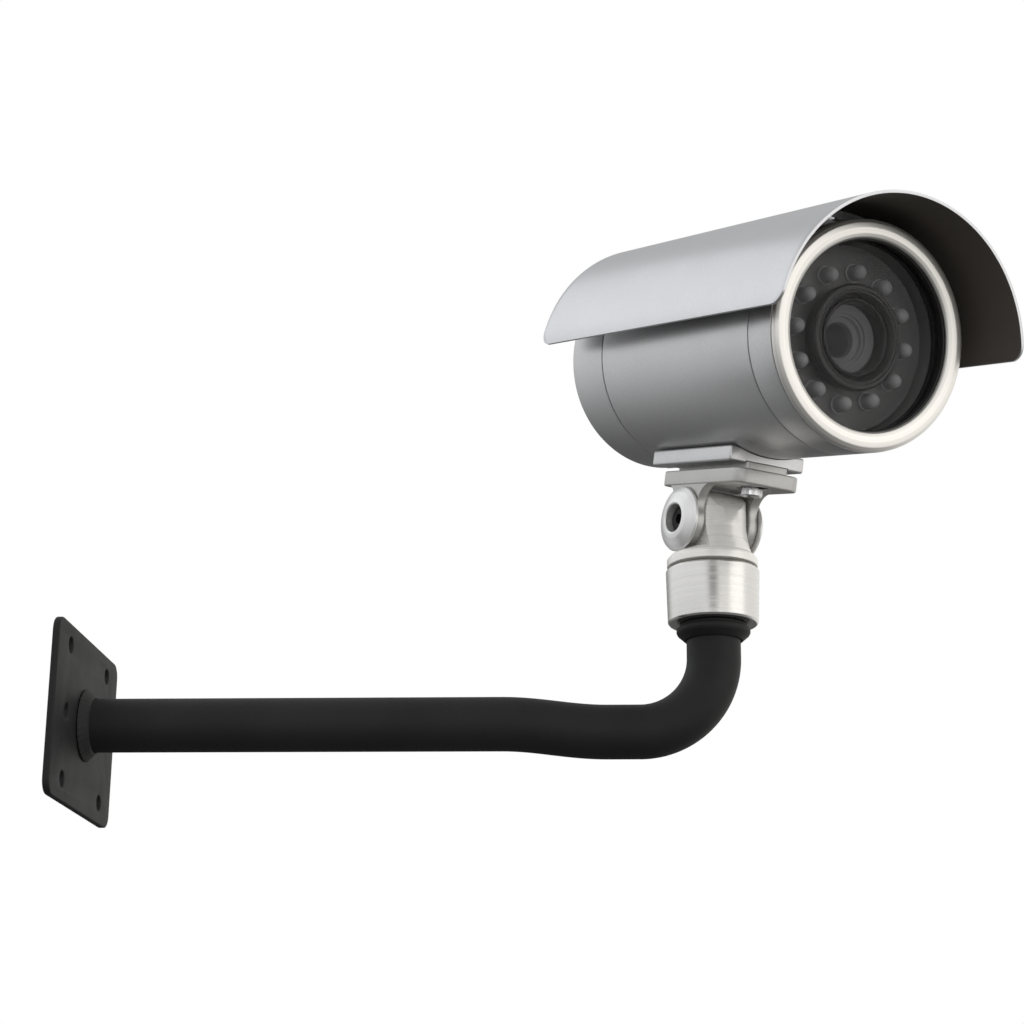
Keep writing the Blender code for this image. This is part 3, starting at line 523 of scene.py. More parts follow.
def bore(name, radius, low, high, place, turns=40):
    """A plain cylinder to cut a hole with."""
    return turned(name, [(0, low), (radius, low), (radius, high), (0, high)], SCREW, place, turns)


print("lathe ready")

# %% [markdown]
# ### Plates
# Flat pieces with holes are filled 2D curves. The curve's own bevel rounds their edges, and its
# offset takes the same amount off the outline, so the plate keeps its size.

# %% Rounded plates
def arc(cx, cy, radius, start, end, step=6.0):
    count = max(2, ceil(abs(end - start) / step))
    angles = [radians(start + (end - start) * i / count) for i in range(count + 1)]
    return [(cx + radius * cos(a), cy + radius * sin(a)) for a in angles]


def circle(radius, count=48, cx=0.0, cy=0.0):
    return arc(cx, cy, radius, 0, 360, 360 / count)[:-1]


def rectangle(x0, y0, x1, y1, *corners):
    radii = corners * 4 if len(corners) == 1 else corners
    signs = ((1, 1), (-1, 1), (-1, -1), (1, -1))
    points = []
    for i, ((x, y), (sx, sy), r) in enumerate(zip(((x0, y0), (x1, y0), (x1, y1), (x0, y1)), signs, radii)):
        points += arc(x + sx * r, y + sy * r, r, 180 + 90 * i, 270 + 90 * i, 15)
    return points


def slot_outline(x0, x1, radius):
    return arc(x1 - radius, 0, radius, -90, 90, 12) + arc(x0 + radius, 0, radius, 90, 270, 12)


def plate_mesh(name, outlines, thickness, edge=0.4):
    """Fills the outlines, the first the rim and the rest holes, with rounded edges."""
    curve = bpy.data.curves.new(name, "CURVE")
    curve.dimensions, curve.fill_mode = "2D", "BOTH"
    curve.extrude, curve.bevel_depth = (thickness / 2 - edge) * MM, edge * MM
    curve.bevel_resolution, curve.offset = 2, -edge * MM
    for points in outlines:
        spline = curve.splines.new("POLY")
        spline.points.add(len(points) - 1)
        for slot, (x, y) in zip(spline.points, points):
            slot.co = (x * MM, y * MM, 0, 1)
        spline.use_cyclic_u = True
    holder = linked(name, curve)
    mesh = plain_mesh(holder)
    bpy.data.objects.remove(holder, do_unlink=True)
    close_up(mesh)
    return mesh


def plate(name, outlines, thickness, material, place, edge=0.4):
    mesh = plate_mesh(name, outlines, thickness, edge)
    mesh.transform(place)
    smooth(mesh)
    return piece_from(name, mesh, material)


def bake(piece):
    """Makes a piece's modifiers part of its mesh."""
    mesh = plain_mesh(piece)
    piece.modifiers.clear()
    piece.data = mesh


def combine(piece, operation, tool):
    """Cuts with, or joins on, one other piece, and removes it."""
    step = piece.modifiers.new("combine", "BOOLEAN")
    step.object, step.operation, step.solver = tool, operation, "EXACT"
    bake(piece)
    bpy.data.objects.remove(tool, do_unlink=True)


def carve(piece, operation, *tools):
    """Combines a piece with others and leaves it all in its own finish."""
    for tool in tools:
        combine(piece, operation, tool)
    while len(piece.data.materials) > 1:
        piece.data.materials.pop()
    for face in piece.data.polygons:
        face.material_index = 0
    smooth(piece.data)
    return piece


print("plates ready")

# %% [markdown]
# ## Bracket
# The wall plate is 3 mm steel with six screw holes and rounded corners. A weld joins the tube
# to it. A weld bead isn't an even ring: it is laid as overlapping ripples, so the turned
# fillet is pushed in and out as it goes round.

# %% Wall plate
PLATE_T, PLATE_W, PLATE_H, PLATE_CORNER = 3.0, 94.0, 71.0, 6.0
HOLE_R, HOLE_Y, HOLE_Z = 3.3, 29.0, 27.0


def wall_plate():
    rim = rectangle(-PLATE_W / 2, -PLATE_H / 2, PLATE_W / 2, PLATE_H / 2, PLATE_CORNER)
    holes = [circle(HOLE_R, 40, side * HOLE_Y, row * HOLE_Z) for side in (-1, 1) for row in (-1, 0, 1)]
    return plate("wall_plate_steel", [rim] + holes, PLATE_T, POWDER, at(PLATE_T / 2) @ FACING_X, 0.6)


settle(wall_plate(), "bracket", "black_powder_coat", "wall_plate")

# %% Weld bead
TUBE_R = 11.0
WELD_RIPPLES, RIPPLE_DEPTH, WELD_IN, WELD_WIDE = 34, 0.00035, 11.4, 3.9


def weld_bead():
    outline = [(11.3, 3.3), (15.3, 3.3, 0.4), (13.6, 5.0, 1.5), (12.0, 6.9, 0.8), (11.3, 7.4)]
    mesh = lathe_mesh("weld_bead_ripples", outline, 272)
    for vertex in mesh.vertices:
        x, y, z = vertex.co
        reach = sqrt(x * x + y * y)
        proud = max(0.0, (reach / MM - WELD_IN) / WELD_WIDE)
        swing = abs(sin(atan2(y, x) * WELD_RIPPLES / 2 + z / MM * 0.5)) - 1.0
        scale = (reach + swing * RIPPLE_DEPTH * proud) / reach
        vertex.co = (x * scale, y * scale, z)
    mesh.transform(ALONG_X)
    smooth(mesh, 50)
    return piece_from("weld_bead_ripples", mesh, POWDER)


settle(weld_bead(), "bracket", "black_powder_coat", "weld_bead")

# %% [markdown]
# ### The bent tube
# The arm runs straight out, dips a little before the elbow, and turns up. A tube is a circle
# swept along a path, which is just what Curve to Mesh does, so a Geometry Nodes tree takes the
# centreline and sweeps it with a named radius. Its end caps close it inside plate and collar.

# %% Geometry Nodes helpers
def node_tree(name, **inputs):
    """An empty geometry tree with named inputs; an underscore stands for a space."""
    tree = bpy.data.node_groups.new(name, "GeometryNodeTree")
    face = tree.interface
    face.new_socket("Geometry", in_out="INPUT", socket_type="NodeSocketGeometry")
    face.new_socket("Geometry", in_out="OUTPUT", socket_type="NodeSocketGeometry")
    for label, value in inputs.items():
        kind = "NodeSocketInt" if isinstance(value, int) else "NodeSocketFloat"
        face.new_socket(label.replace("_", " "), in_out="INPUT", socket_type=kind).default_value = value
    return tree, add(tree, "NodeGroupInput"), add(tree, "NodeGroupOutput")


def grown(name, start, tree, values, place, material, angle=32.0):
    """Runs a tree on a start object and returns the plain mesh piece that it makes."""
    step = start.modifiers.new(name, "NODES")
    step.node_group = tree
    sockets = {s.name: s.identifier for s in tree.interface.items_tree if s.in_out == "INPUT"}
    for label, value in values.items():
        step[sockets[label]] = value
    mesh = plain_mesh(start)
    bpy.data.objects.remove(start, do_unlink=True)
    mesh.transform(place)
    close_up(mesh)
    smooth(mesh, angle)
    return piece_from(name, mesh, material)


def finish_tree(tree, geometry, out, material):
    """Realize Instances and Set Material, the last two steps of every tree here."""
    real = add(tree, "GeometryNodeRealizeInstances")
    paint = add(tree, "GeometryNodeSetMaterial", Material=material)
    tree.links.new(geometry, real.inputs["Geometry"])
    join(tree, (real, "Geometry", paint, "Geometry"), (paint, "Geometry", out, "Geometry"))


print("geometry node helpers ready")

# %% Arm tube swept along its centreline
ARM_DIP, DIP_FROM, DIP_TO, BEND_R = 3.4, 174.0, 217.0, 30.0
TUBE_START, TUBE_TOP = 3.3, 51.7


def centreline():
    path = [(TUBE_START + (DIP_FROM - TUBE_START) * i / 12, 0, 0) for i in range(12)]
    for i in range(25):
        t = i / 24
        path.append((DIP_FROM + (DIP_TO - DIP_FROM) * t, 0, -ARM_DIP * (1 - cos(pi * t)) / 2))
    path += [(x, 0, z) for x, z in arc(ARM_REACH - BEND_R, BEND_R - ARM_DIP, BEND_R, -90, 0, 2.5)]
    return path + [(ARM_REACH, 0, z) for z in (34.0, 43.0, TUBE_TOP)]


def path_object(name, points):
    curve = bpy.data.curves.new(name, "CURVE")
    curve.dimensions = "3D"
    spline = curve.splines.new("POLY")
    spline.points.add(len(points) - 1)
    for slot, point in zip(spline.points, points):
        slot.co = (*[c * MM for c in point], 1)
    return linked(name, curve)


def sweep_tree():
    tree, given, out = node_tree("tube_sweep", Radius=0.011, Sides=72)
    rim = add(tree, "GeometryNodeCurvePrimitiveCircle")
    sweep = add(tree, "GeometryNodeCurveToMesh", Fill_Caps=True)
    join(tree, (given, "Radius", rim, "Radius"), (given, "Sides", rim, "Resolution"),
         (given, "Geometry", sweep, "Curve"), (rim, "Curve", sweep, "Profile Curve"))
    finish_tree(tree, sweep.outputs["Mesh"], out, POWDER)
    return tree


SWEEP = sweep_tree()
settle(grown("arm_tube_bent", path_object("arm_path", centreline()), SWEEP,
             {"Radius": TUBE_R * MM, "Sides": 72}, WORLD, POWDER), "bracket", "black_powder_coat", "arm_tube")

# %% [markdown]
# ### Ferrule and collar
# A black ferrule closes the tube under a bright turned collar. The collar widens a little
# upwards and holds the pan bolt. A small grub screw sits in its far side.

# %% Ferrule and collar
GRUB_Z, GRUB_R = 46.0, 2.8


def collar():
    outline = [(11.3, 40.7), (17.8, 40.7, 0.6), (18.45, 41.5, 0.5), (19.1, 62.7, 0.5), (18.5, 63.5, 0.5),
               (15.6, 63.5), (15.6, 62.0), (8.6, 62.0), (8.6, 63.5), (4.4, 63.5), (4.4, 52.0), (11.3, 52.0)]
    body = turned("swivel_collar_turned", outline, COLLAR_METAL, STUB, 192)
    across = STUB @ at(z=GRUB_Z) @ ALONG_Y
    return carve(body, "DIFFERENCE", bore("grub_hole", GRUB_R, 9, 22, across))


settle(turned("tube_ferrule_turned", [
    (11.3, 33.9), (11.9, 33.9, 0.2), (14.5, 36.2, 0.8), (15.0, 37.1, 0.5), (15.0, 38.7, 0.4),
    (13.6, 39.1, 0.2), (13.6, 40.4, 0.2), (11.3, 40.4)], POWDER, STUB),
       "bracket", "black_powder_coat", "tube_ferrule")
settle(collar(), "bracket", "satin_die_cast", "swivel_collar")

# %% [markdown]
# ## Swivel stalk
# The stalk is a turned base whose upper part narrows into a column. Two flats are milled on the
# column for the yoke's ears, and its top is rounded about the tilt bolt. So it is made as the
# real one is: turn it, then keep only what also lies inside a round-topped slab.

# %% Stalk
TONGUE_R, TONGUE_THICK, TONGUE_HALF, TONGUE_LOW, TONGUE_SHOULDER = 13.6, 20.0, 20.0, 68.6, 75.9
BOLT_WAY, SPINDLE_WAY = 3.3, 4.3               # radii of the clearance holes


def tongue():
    outline = [(0, 98.0), (14.4, 98.0), (14.4, 79.3, 5.0), (15.0, 75.3, 4.0), (16.0, 71.8, 3.0),
               (17.0, 69.0, 0.3), (17.0, 68.4), (0, 68.4)]
    column = turned("tongue_column", outline, STALK_METAL, SWIVEL)
    side = [(-TONGUE_HALF, TONGUE_LOW), (TONGUE_HALF, TONGUE_LOW), (TONGUE_HALF, TONGUE_SHOULDER)]
    side += arc(0, TILT_HEIGHT, TONGUE_R, 30, 150, 3) + [(-TONGUE_HALF, TONGUE_SHOULDER)]
    slab = plate("tongue_slab", [side], TONGUE_THICK, STALK_METAL, SWIVEL @ FACING_Y, 0.9)
    return carve(column, "INTERSECT", slab)


def stalk():
    outline = [(0, 69.4), (17.1, 69.4, 0.5), (18.05, 68.4, 0.3), (18.1, 68.0, 0.1), (18.6, 67.7, 0.2),
               (18.6, 64.7, 0.4), (18.0, 64.6, 0.2), (0, 64.6)]
    body = turned("swivel_stalk", outline, STALK_METAL, SWIVEL, 192)
    across = SWIVEL @ at(z=TILT_HEIGHT) @ ALONG_Y
    shoulder = turned("shoulder", [(0, 71.0), (14.0, 71.0, 0.6), (14.6, 68.9), (0, 68.9)],
                      STALK_METAL, SWIVEL)
    carve(body, "UNION", tongue(), shoulder)
    return carve(body, "DIFFERENCE", bore("bolt_way", BOLT_WAY, -14, 14, across),
                 bore("spindle_way", SPINDLE_WAY, 61.6, 74.2, SWIVEL))


settle(stalk(), "swivel", "satin_die_cast", "stalk")

# %% [markdown]
# ## Yoke
# Two ears hang from a flat shoe and clasp the stalk. Each ear is a disc round the bolt, blended
# into the shoe by a fillet before and behind. The neck on top slides in the rail plate's groove.

# %% Yoke
EAR_IN, EAR_OUT, EAR_R = 11.0, 15.0, 11.4
SHOE_Z, SHOE_T, SHOE_HALF, SHOE_REAR, SHOE_FRONT = 14.3, 6.2, 15.4, -17.5, 38.5
NECK_HALF, NECK_TOP = 10.0, 23.4
CLAMP_X, CLAMP_SLOT, CLAMP_SLOT_R = 26.0, 9.4, 3.4
SEAT_R, SEAT_FROM, SEAT_TO = 6.3, 12.8, 17     # for the bolt's head and its nut


def ear_outline():
    """A disc round the bolt, run into the shoe by a wide fillet in front and a small one behind."""
    fillets = []
    for radius in (8.5, 5.0):
        rise = SHOE_Z + 0.2 - radius
        run = sqrt((EAR_R + radius) ** 2 - rise ** 2)
        fillets.append((radius, run, rise, atan2(rise, run) * 180 / pi))
    front, rear = fillets
    top = SHOE_Z + 2.0
    points = arc(0, 0, EAR_R, 180 - rear[3], 360 + front[3], 4)
    points += arc(front[1], front[2], front[0], 180 + front[3], 90, 6)[1:]
    points += [(front[1], top), (-rear[1], top)]
    return points + arc(-rear[1], rear[2], rear[0], 90, -rear[3], 8)[:-1]


def yoke():
    rim = rectangle(SHOE_REAR, -SHOE_HALF, SHOE_FRONT, SHOE_HALF, 2.5, 5.0, 5.0, 2.5)
    body = plate("yoke_casting", [rim], SHOE_T, CAST, YOKE @ at(z=SHOE_Z + SHOE_T / 2), 0.7)
    for side in (-1, 1):
        place = YOKE @ at(y=side * (EAR_IN + EAR_OUT) / 2) @ FACING_Y
        carve(body, "UNION", plate("ear", [ear_outline()], EAR_OUT - EAR_IN, CAST, place, 0.5))
    neck = rectangle(-15, -NECK_HALF, 36, NECK_HALF, 1.5)
    height = NECK_TOP - SHOE_Z - 1
    carve(body, "UNION", plate("neck", [neck], height, CAST, YOKE @ at(z=NECK_TOP - height / 2), 0.3))
    bolt = YOKE @ ALONG_Y
    slot = slot_outline(CLAMP_X - CLAMP_SLOT, CLAMP_X + CLAMP_SLOT, CLAMP_SLOT_R)
    return carve(body, "DIFFERENCE", plate("clamp_slot", [slot], 20, CAST, YOKE @ at(z=20), 0.01),
                 bore("ear_bore", BOLT_WAY, -24, 24, bolt, 48),
                 bore("head_seat", SEAT_R, -SEAT_TO, -SEAT_FROM, bolt, 64),
                 bore("nut_seat", SEAT_R, SEAT_FROM, SEAT_TO, bolt, 64))


settle(yoke(), "yoke", "satin_die_cast", "yoke")

# %% [markdown]
# ### Bolt caps
# A domed ring finishes each ear, with a hole for the bolt's head or its nut. Its face rises in
# one soft curve from the rim to the hole.

# %% Bolt caps, bolt and nut
def bolt_cap(name, side):
    outline = [(5.85, 15.3), (13.1, 15.3, 0.15), (13.5, 15.8, 0.3), (13.1, 16.5, 0.8), (11.0, 17.6, 5.0),
               (8.4, 18.7, 4.0), (6.45, 19.2, 0.3), (5.85, 18.8, 0.2)]
    mirror = WORLD if side > 0 else Matrix.Rotation(pi, 4, "Z")
    return turned(name, outline, CAP_METAL, YOKE @ mirror @ ALONG_Y)


def hexagon(across_flats):
    return arc(0, 0, across_flats / sqrt(3), 0, 360, 60)[:-1]


def tilt_bolt():
    head, top = -13.1, -13.1 - 3.2
    outline = [(0, 19.0), (2.6, 19.0), (3.0, 18.6), (3.0, head), (5.0, head, 0.1), (5.0, top, 0.4), (0, top)]
    bolt = turned("tilt_bolt_cap_screw", outline, BLACK_SCREW, YOKE @ ALONG_Y, 64)
    socket = plate("socket", [hexagon(4.0)], 4.0, BLACK_SCREW, YOKE @ ALONG_Y @ at(z=top), 0.01)
    return carve(bolt, "DIFFERENCE", socket)


settle(bolt_cap("tilt_cap_right_turned", -1), "yoke", "satin_die_cast", "tilt_cap_right")
settle(bolt_cap("tilt_cap_left_turned", 1), "yoke", "satin_die_cast", "tilt_cap_left")
settle(tilt_bolt(), "yoke", "screw_steel", "tilt_bolt")

# %% [markdown]
# ## Rail plate
# A short silver plate is screwed under the barrel. Its top is hollowed to the barrel's round,
# its underside has the groove that the neck slides in, and its edges are chamfered.

# %% Rail plate
RAIL_Z, RAIL_TOP, RAIL_HALF, RAIL_REAR, RAIL_FRONT = 22.7, 28.9, 18.0, -23.0, 35.0
RAIL_SCREWS, SHIELD_SCREWS, SCREW_WAY = (8.0, -17.0), (-18.0, 48.0), 2.3
BARREL_R, BARREL_BORE = 44.5, 41.5


def rail_plate():
    rim = rectangle(RAIL_REAR, -RAIL_HALF, RAIL_FRONT, RAIL_HALF, 1.0)
    thick = RAIL_TOP - RAIL_Z
    rail = plate("rail_plate_milled", [rim], thick, SILVER, YOKE @ at(z=RAIL_Z + thick / 2), 0.9)
    wide = rectangle(-40, -NECK_HALF - 0.3, 50, NECK_HALF + 0.3, 0.5)
    groove = plate("neck_groove", [wide], 8.7, SILVER, YOKE @ at(z=NECK_TOP + 0.3 - 4.35), 0.01)
    saddle = bore("saddle", BARREL_R + 0.3, -60, 60, BARREL @ ALONG_X, 256)
    carve(rail, "DIFFERENCE", saddle, groove)
    for x, radius in ((CLAMP_X, BOLT_WAY), *((x, SCREW_WAY) for x in RAIL_SCREWS)):
        carve(rail, "DIFFERENCE", bore("screw_way", radius, 15, 40, YOKE @ at(x)))
    sunk = [(0, 20), (4.4, 20), (4.4, 23.3), (SCREW_WAY, 25.3), (0, 25.3)]
    return carve(rail, "DIFFERENCE", *(turned("sink", sunk, SILVER, YOKE @ at(x), 40) for x in RAIL_SCREWS))


settle(rail_plate(), "camera", "silver_paint", "rail_plate")

# %% [markdown]
# ## Barrel
# Rear cap, tube and front ring are three turned pieces with fine grooves between them. The
# spigots and grooves inside are turned too, because they carry the sealing rings.

# %% Barrel shells
REAR_END, REAR_SEAM, FRONT_SEAM, BEZEL_SEAM, GAP = -56.2, -30.5, 76.7, 91.8, 0.3


def barrel_piece(name, outline, material=SILVER, turns=256):
    return turned(name, outline, material, BARREL @ ALONG_X, turns)


def settle_turned(name, node, slot, outline, material, turns=256, body="camera"):
    """A turned piece about the barrel's axis, settled for one node."""
    settle(barrel_piece(name, outline, material, turns), body, slot, node)


def spigot(seam, way):
    """The step inside a seam, with the groove that its sealing ring lies in."""
    steps = ((41.2, 0), (41.2, 2.4), (39.2, 2.4), (39.2, 4.6), (41.2, 4.6), (41.2, 6.7), (37.4, 6.7))
    return [(radius, seam + way * along) for radius, along in steps]


def barrel_tube():
    rear, front = REAR_SEAM + GAP, FRONT_SEAM - GAP
    tube = barrel_piece("barrel_tube_drawn", [
        (BARREL_BORE, rear), (BARREL_R, rear, 0.35), (BARREL_R, front, 0.35), (BARREL_BORE, front)])
    ribs = (((-23, -6, 34, 6), -42.5, -35.0), ((-23, -5, 56, 5), 36.0, 42.5))
    for rim, low, high in ribs:
        place = BARREL @ at(z=(low + high) / 2)
        carve(tube, "UNION", plate("rib", [rectangle(*rim, 0.5)], high - low, SILVER, place, 0.2))
    ways = [(CLAMP_X, BOLT_WAY, -60, -30), *((x, SCREW_WAY, -60, -30) for x in RAIL_SCREWS),
            *((x, SCREW_WAY, 30, 60) for x in SHIELD_SCREWS)]
    for x, radius, low, high in ways:
        carve(tube, "DIFFERENCE", bore("way", radius, low, high, BARREL @ at(x), 32))
    return tube


seam = REAR_SEAM - GAP
settle_turned("rear_cap_turned", "rear_cap", "silver_paint", [
    (6.4, REAR_END), (42.1, REAR_END, 1.2), (43.8, REAR_END + 0.5, 1.4), (BARREL_R, REAR_END + 2.2, 1.4),
    (BARREL_R, seam, 0.3), *spigot(seam, 1), (37.4, REAR_END + 3), (6.4, REAR_END + 3)], SILVER)
settle(barrel_tube(), "camera", "silver_paint", "barrel_tube")
seam = FRONT_SEAM + GAP
settle_turned("front_ring_turned", "front_ring", "silver_paint", [
    *spigot(seam, -1)[::-1], (BARREL_R, seam, 0.3), (BARREL_R, BEZEL_SEAM - GAP, 0.3),
    (40.8, BEZEL_SEAM - GAP), (40.8, seam + 6), (37.4, seam + 6)], SILVER)

# %% [markdown]
# ### Bezel and window
# The bezel is a softly crowned ring that screws into the front ring. A black gasket lies under
# its lip, then the smoked window, and a retainer behind.

# %% Bezel, gasket, window and retainer
settle_turned("bezel_turned", "bezel", "bezel_metal", [
    (44.2, 91.8, 0.1), (44.4, 92.4, 0.6), (44.0, 93.6, 0.9), (42.7, 94.55, 1.4), (40.6, 94.9, 2.0),
    (38.6, 94.6, 1.4), (37.3, 94.0, 0.8), (36.8, 93.2, 0.4), (36.8, 92.5, 0.1), (39.2, 92.5),
    (39.2, 84.4), (40.4, 84.4), (40.4, 91.8)], BEZEL_METAL)
settle_turned("window_gasket_ring", "window_gasket", "black_rubber",
              [(36.2, 89.3, 0.3), (38.9, 89.3), (38.9, 92.2), (36.2, 92.2, 0.5)], RUBBER)
settle_turned("window_pane", "window_glass", "window_glass",
              [(0, 86.5), (38.8, 86.5, 0.3), (38.8, 89.0, 0.3), (0, 89.0)], WINDOW)
settle_turned("glass_retainer_ring", "glass_retainer", "black_plastic",
              [(36.6, 84.4, 0.2), (38.9, 84.4), (38.9, 86.2), (36.6, 86.2, 0.2)], PLASTIC)

# %% [markdown]
# ## Lamp board
# Twelve infrared lamps stand in a ring round the lens on a black board. The lamps repeat, so a
# Geometry Nodes tree sets one on each vertex of a circle. Each is a line swept with a radius
# that follows a lamp's outline: a collar at the foot, a straight wall, and a round dome.

# %% Lamps on a circle
LED_COUNT, LED_RING_R, LED_R, LED_FOOT, LED_TALL = 12, 25.7, 3.7, 78.0, 6.9
LED_RINGS, LED_SIDES = 40, 40                  # points along a lamp and round it


def shaft_tree(name, outline, material):
    """Sweeps a line along Z with a radius read from an outline, once per vertex of a circle."""
    tree, given, out = node_tree(name, Count=12, Ring_Radius=0.0257, Lamp_Radius=0.0037, Height=0.0069)
    ring, line = add(tree, "GeometryNodeMeshCircle"), add(tree, "GeometryNodeCurvePrimitiveLine")
    tip, fine = add(tree, "ShaderNodeCombineXYZ"), add(tree, "GeometryNodeResampleCurve", Count=LED_RINGS)
    along, shape = add(tree, "GeometryNodeSplineParameter"), add(tree, "ShaderNodeFloatCurve")
    width, put = add(tree, "GeometryNodeSetCurveRadius"), add(tree, "GeometryNodeInstanceOnPoints")
    rim = add(tree, "GeometryNodeCurvePrimitiveCircle", Resolution=LED_SIDES)
    sweep = add(tree, "GeometryNodeCurveToMesh", Fill_Caps=True)
    points = shape.mapping.curves[0].points
    for t, r in outline[1:-1]:
        points.new(t, r)
    points[0].location, points[-1].location = outline[0], outline[-1]
    for point in points:
        point.handle_type = "VECTOR"
    shape.mapping.update()
    join(tree, (given, "Count", ring, "Vertices"), (given, "Ring Radius", ring, "Radius"),
         (given, "Height", tip, "Z"), (tip, "Vector", line, "End"), (line, "Curve", fine, "Curve"),
         (along, "Factor", shape, "Value"), (fine, "Curve", width, "Curve"), (shape, "Value", width, "Radius"),
         (given, "Lamp Radius", rim, "Radius"), (width, "Curve", sweep, "Curve"),
         (rim, "Curve", sweep, "Profile Curve"), (shape, "Value", sweep, "Scale"),
         (ring, "Mesh", put, "Points"), (sweep, "Mesh", put, "Instance"))
    finish_tree(tree, put.outputs["Instances"], out, material)
    return tree


def seed_object(name):
    """A single point that a tree can grow from."""
    mesh = bpy.data.meshes.new(name)
    mesh.from_pydata([(0, 0, 0)], [], [])
    return linked(name, mesh)


DOME = [(0.0, 1.0), (0.08, 1.0), (0.09, 0.86), (0.55, 0.84)]
DOME += [(0.55 + 0.45 * sin(radians(a)), 0.84 * cos(radians(a))) for a in range(10, 90, 10)] + [(1.0, 0.03)]
LAMPS = shaft_tree("lamp_ring", DOME, LAMP)
lamp_place = BARREL @ at(LED_FOOT) @ FACING_X
lamps = grown("infrared_lamps", seed_object("lamp_seed"), LAMPS,
              {"Count": LED_COUNT, "Ring Radius": LED_RING_R * MM, "Lamp Radius": LED_R * MM,
               "Height": LED_TALL * MM}, lamp_place, LAMP, 50)
settle(lamps, "camera", "lens_glass", "led_board")
board = plate("lamp_board", [circle(36.0, 96), circle(17.0, 64)], 1.6, LAMP_BOARD,
              BARREL @ at(77.2) @ FACING_X, 0.1)
settle(board, "camera", "circuit_board", "led_board")

# %% [markdown]
# ## Lens
# A ribbed hood shades the lens. The cell behind carries the front glass, with dark steps
# leading in to the small rear glass.

# %% Hood, cell and glasses
settle_turned("lens_hood_turned", "lens_hood", "black_rubber", [
    (15.8, 78.3), (19.4, 78.3, 0.2), (19.4, 82.9, 0.2), (20.7, 83.3, 0.3), (20.7, 85.3, 0.6),
    (19.8, 86.2, 0.5), (18.6, 86.2, 0.2), (18.3, 85.8, 0.1), (17.9, 85.8, 0.1), (17.6, 86.2, 0.2),
    (17.2, 86.15, 0.3), (16.5, 85.3, 0.4), (15.8, 84.4, 0.3)], HOOD_PLASTIC, 160)
settle_turned("lens_cell_turned", "lens_cell", "black_plastic", [
    (7.0, 46.0), (11.0, 46.0), (11.0, 73.4), (15.0, 75.2), (15.0, 84.6, 0.2), (14.3, 85.0, 0.2),
    (13.6, 84.2, 0.2), (13.6, 78.4), (9.8, 77.6, 0.2), (9.8, 76.4, 0.1), (9.0, 76.2, 0.1),
    (9.0, 74.2, 0.1), (7.0, 73.4)], CELL_METAL, 128, "lens")
settle_turned("front_lens_ground", "front_lens", "lens_glass", [
    (0, 83.4), (3.0, 83.3), (6.0, 82.95), (9.0, 82.25), (11.5, 81.4), (13.3, 80.6, 0.1),
    (13.3, 79.4, 0.1), (10.4, 78.9), (0, 78.9)], LENS, 128, "lens")
settle_turned("rear_lens_ground", "rear_lens", "lens_glass", [
    (0, 72.4), (2.4, 72.25), (4.6, 71.8), (6.7, 71.0, 0.1), (6.7, 66.8, 0.1), (0, 66.2)], LENS, 128, "lens")

# %% [markdown]
# ## Sunshield
# The shield is one sheet rolled to an arc a little under the barrel's axis. It is drawn as a
# grid of quads: each row along the barrel is shortened near the two lower edges so that the
# corners are rounded. Solidify gives it its thickness inwards and Bevel rounds its rim. The
# inner faces from 70 mm forward take a second, dark brown-black material; further back the
# inside keeps the silver.

# %% Rolled sheet
SHIELD_R, SHIELD_T, SHIELD_DROP, SHIELD_CORNER = 56.0, 1.2, 5.4, 6.0
SHIELD_REAR, SHIELD_FRONT, SHIELD_EDGE = -61.0, 115.2, 4.5
SLOT_HALF, SLOT_R, INNER_DARK_FROM = 12.4, 2.4, 70.0
SHEET_COLUMNS, SHEET_ROWS = 60, 90


def sheet_rows():
    """Distances from a lower edge, close together where the corner is round."""
    outer = SHIELD_R + SHIELD_T
    full = outer * radians(180 - 2 * SHIELD_EDGE)
    corner = [SHIELD_CORNER * (1 - cos(radians(a))) for a in range(0, 91, 10)]
    middle = [SHIELD_CORNER + (full - 2 * SHIELD_CORNER) * i / SHEET_ROWS for i in range(1, SHEET_ROWS)]
    return corner + middle + [full - d for d in reversed(corner)], full


def rolled_sheet():
    rows, full = sheet_rows()
    outer, columns = SHIELD_R + SHIELD_T, SHEET_COLUMNS
    mesh = bpy.data.meshes.new("sunshield_rolled")
    verts, faces = [], []
    for down in rows:
        near = min(down, full - down)
        cut = SHIELD_CORNER - sqrt(max(0, SHIELD_CORNER ** 2 - max(0, SHIELD_CORNER - near) ** 2))
        angle = radians(SHIELD_EDGE) + down / outer
        for i in range(columns + 1):
            x = SHIELD_REAR + cut + (SHIELD_FRONT - SHIELD_REAR - 2 * cut) * i / columns
            verts.append((x * MM, outer * cos(angle) * MM, (outer * sin(angle) - SHIELD_DROP) * MM))
    for r in range(len(rows) - 1):
        for i in range(columns):
            a = r * (columns + 1) + i
            faces.append((a, a + 1, a + columns + 2, a + columns + 1))
    mesh.from_pydata(verts, [], faces)
    mesh.transform(BARREL)
    sheet = piece_from("sunshield_rolled", mesh, SHADE_SILVER)
    mesh.materials.append(INNER_BLACK)
    outside = BARREL.translation
    middle = mesh.polygons[len(mesh.polygons) // 2]
    if (middle.center - outside).dot(middle.normal) < 0:
        mesh.flip_normals()
    wall = sheet.modifiers.new("wall", "SOLIDIFY")
    wall.thickness, wall.offset, wall.material_offset = SHIELD_T * MM, -1.0, 1
    wall.use_even_offset = True
    wall.material_offset_rim = 0
    rim = sheet.modifiers.new("rim", "BEVEL")
    rim.width, rim.segments, rim.limit_method, rim.angle_limit = 0.35 * MM, 2, "ANGLE", radians(50)
    rim.material = 0
    return sheet


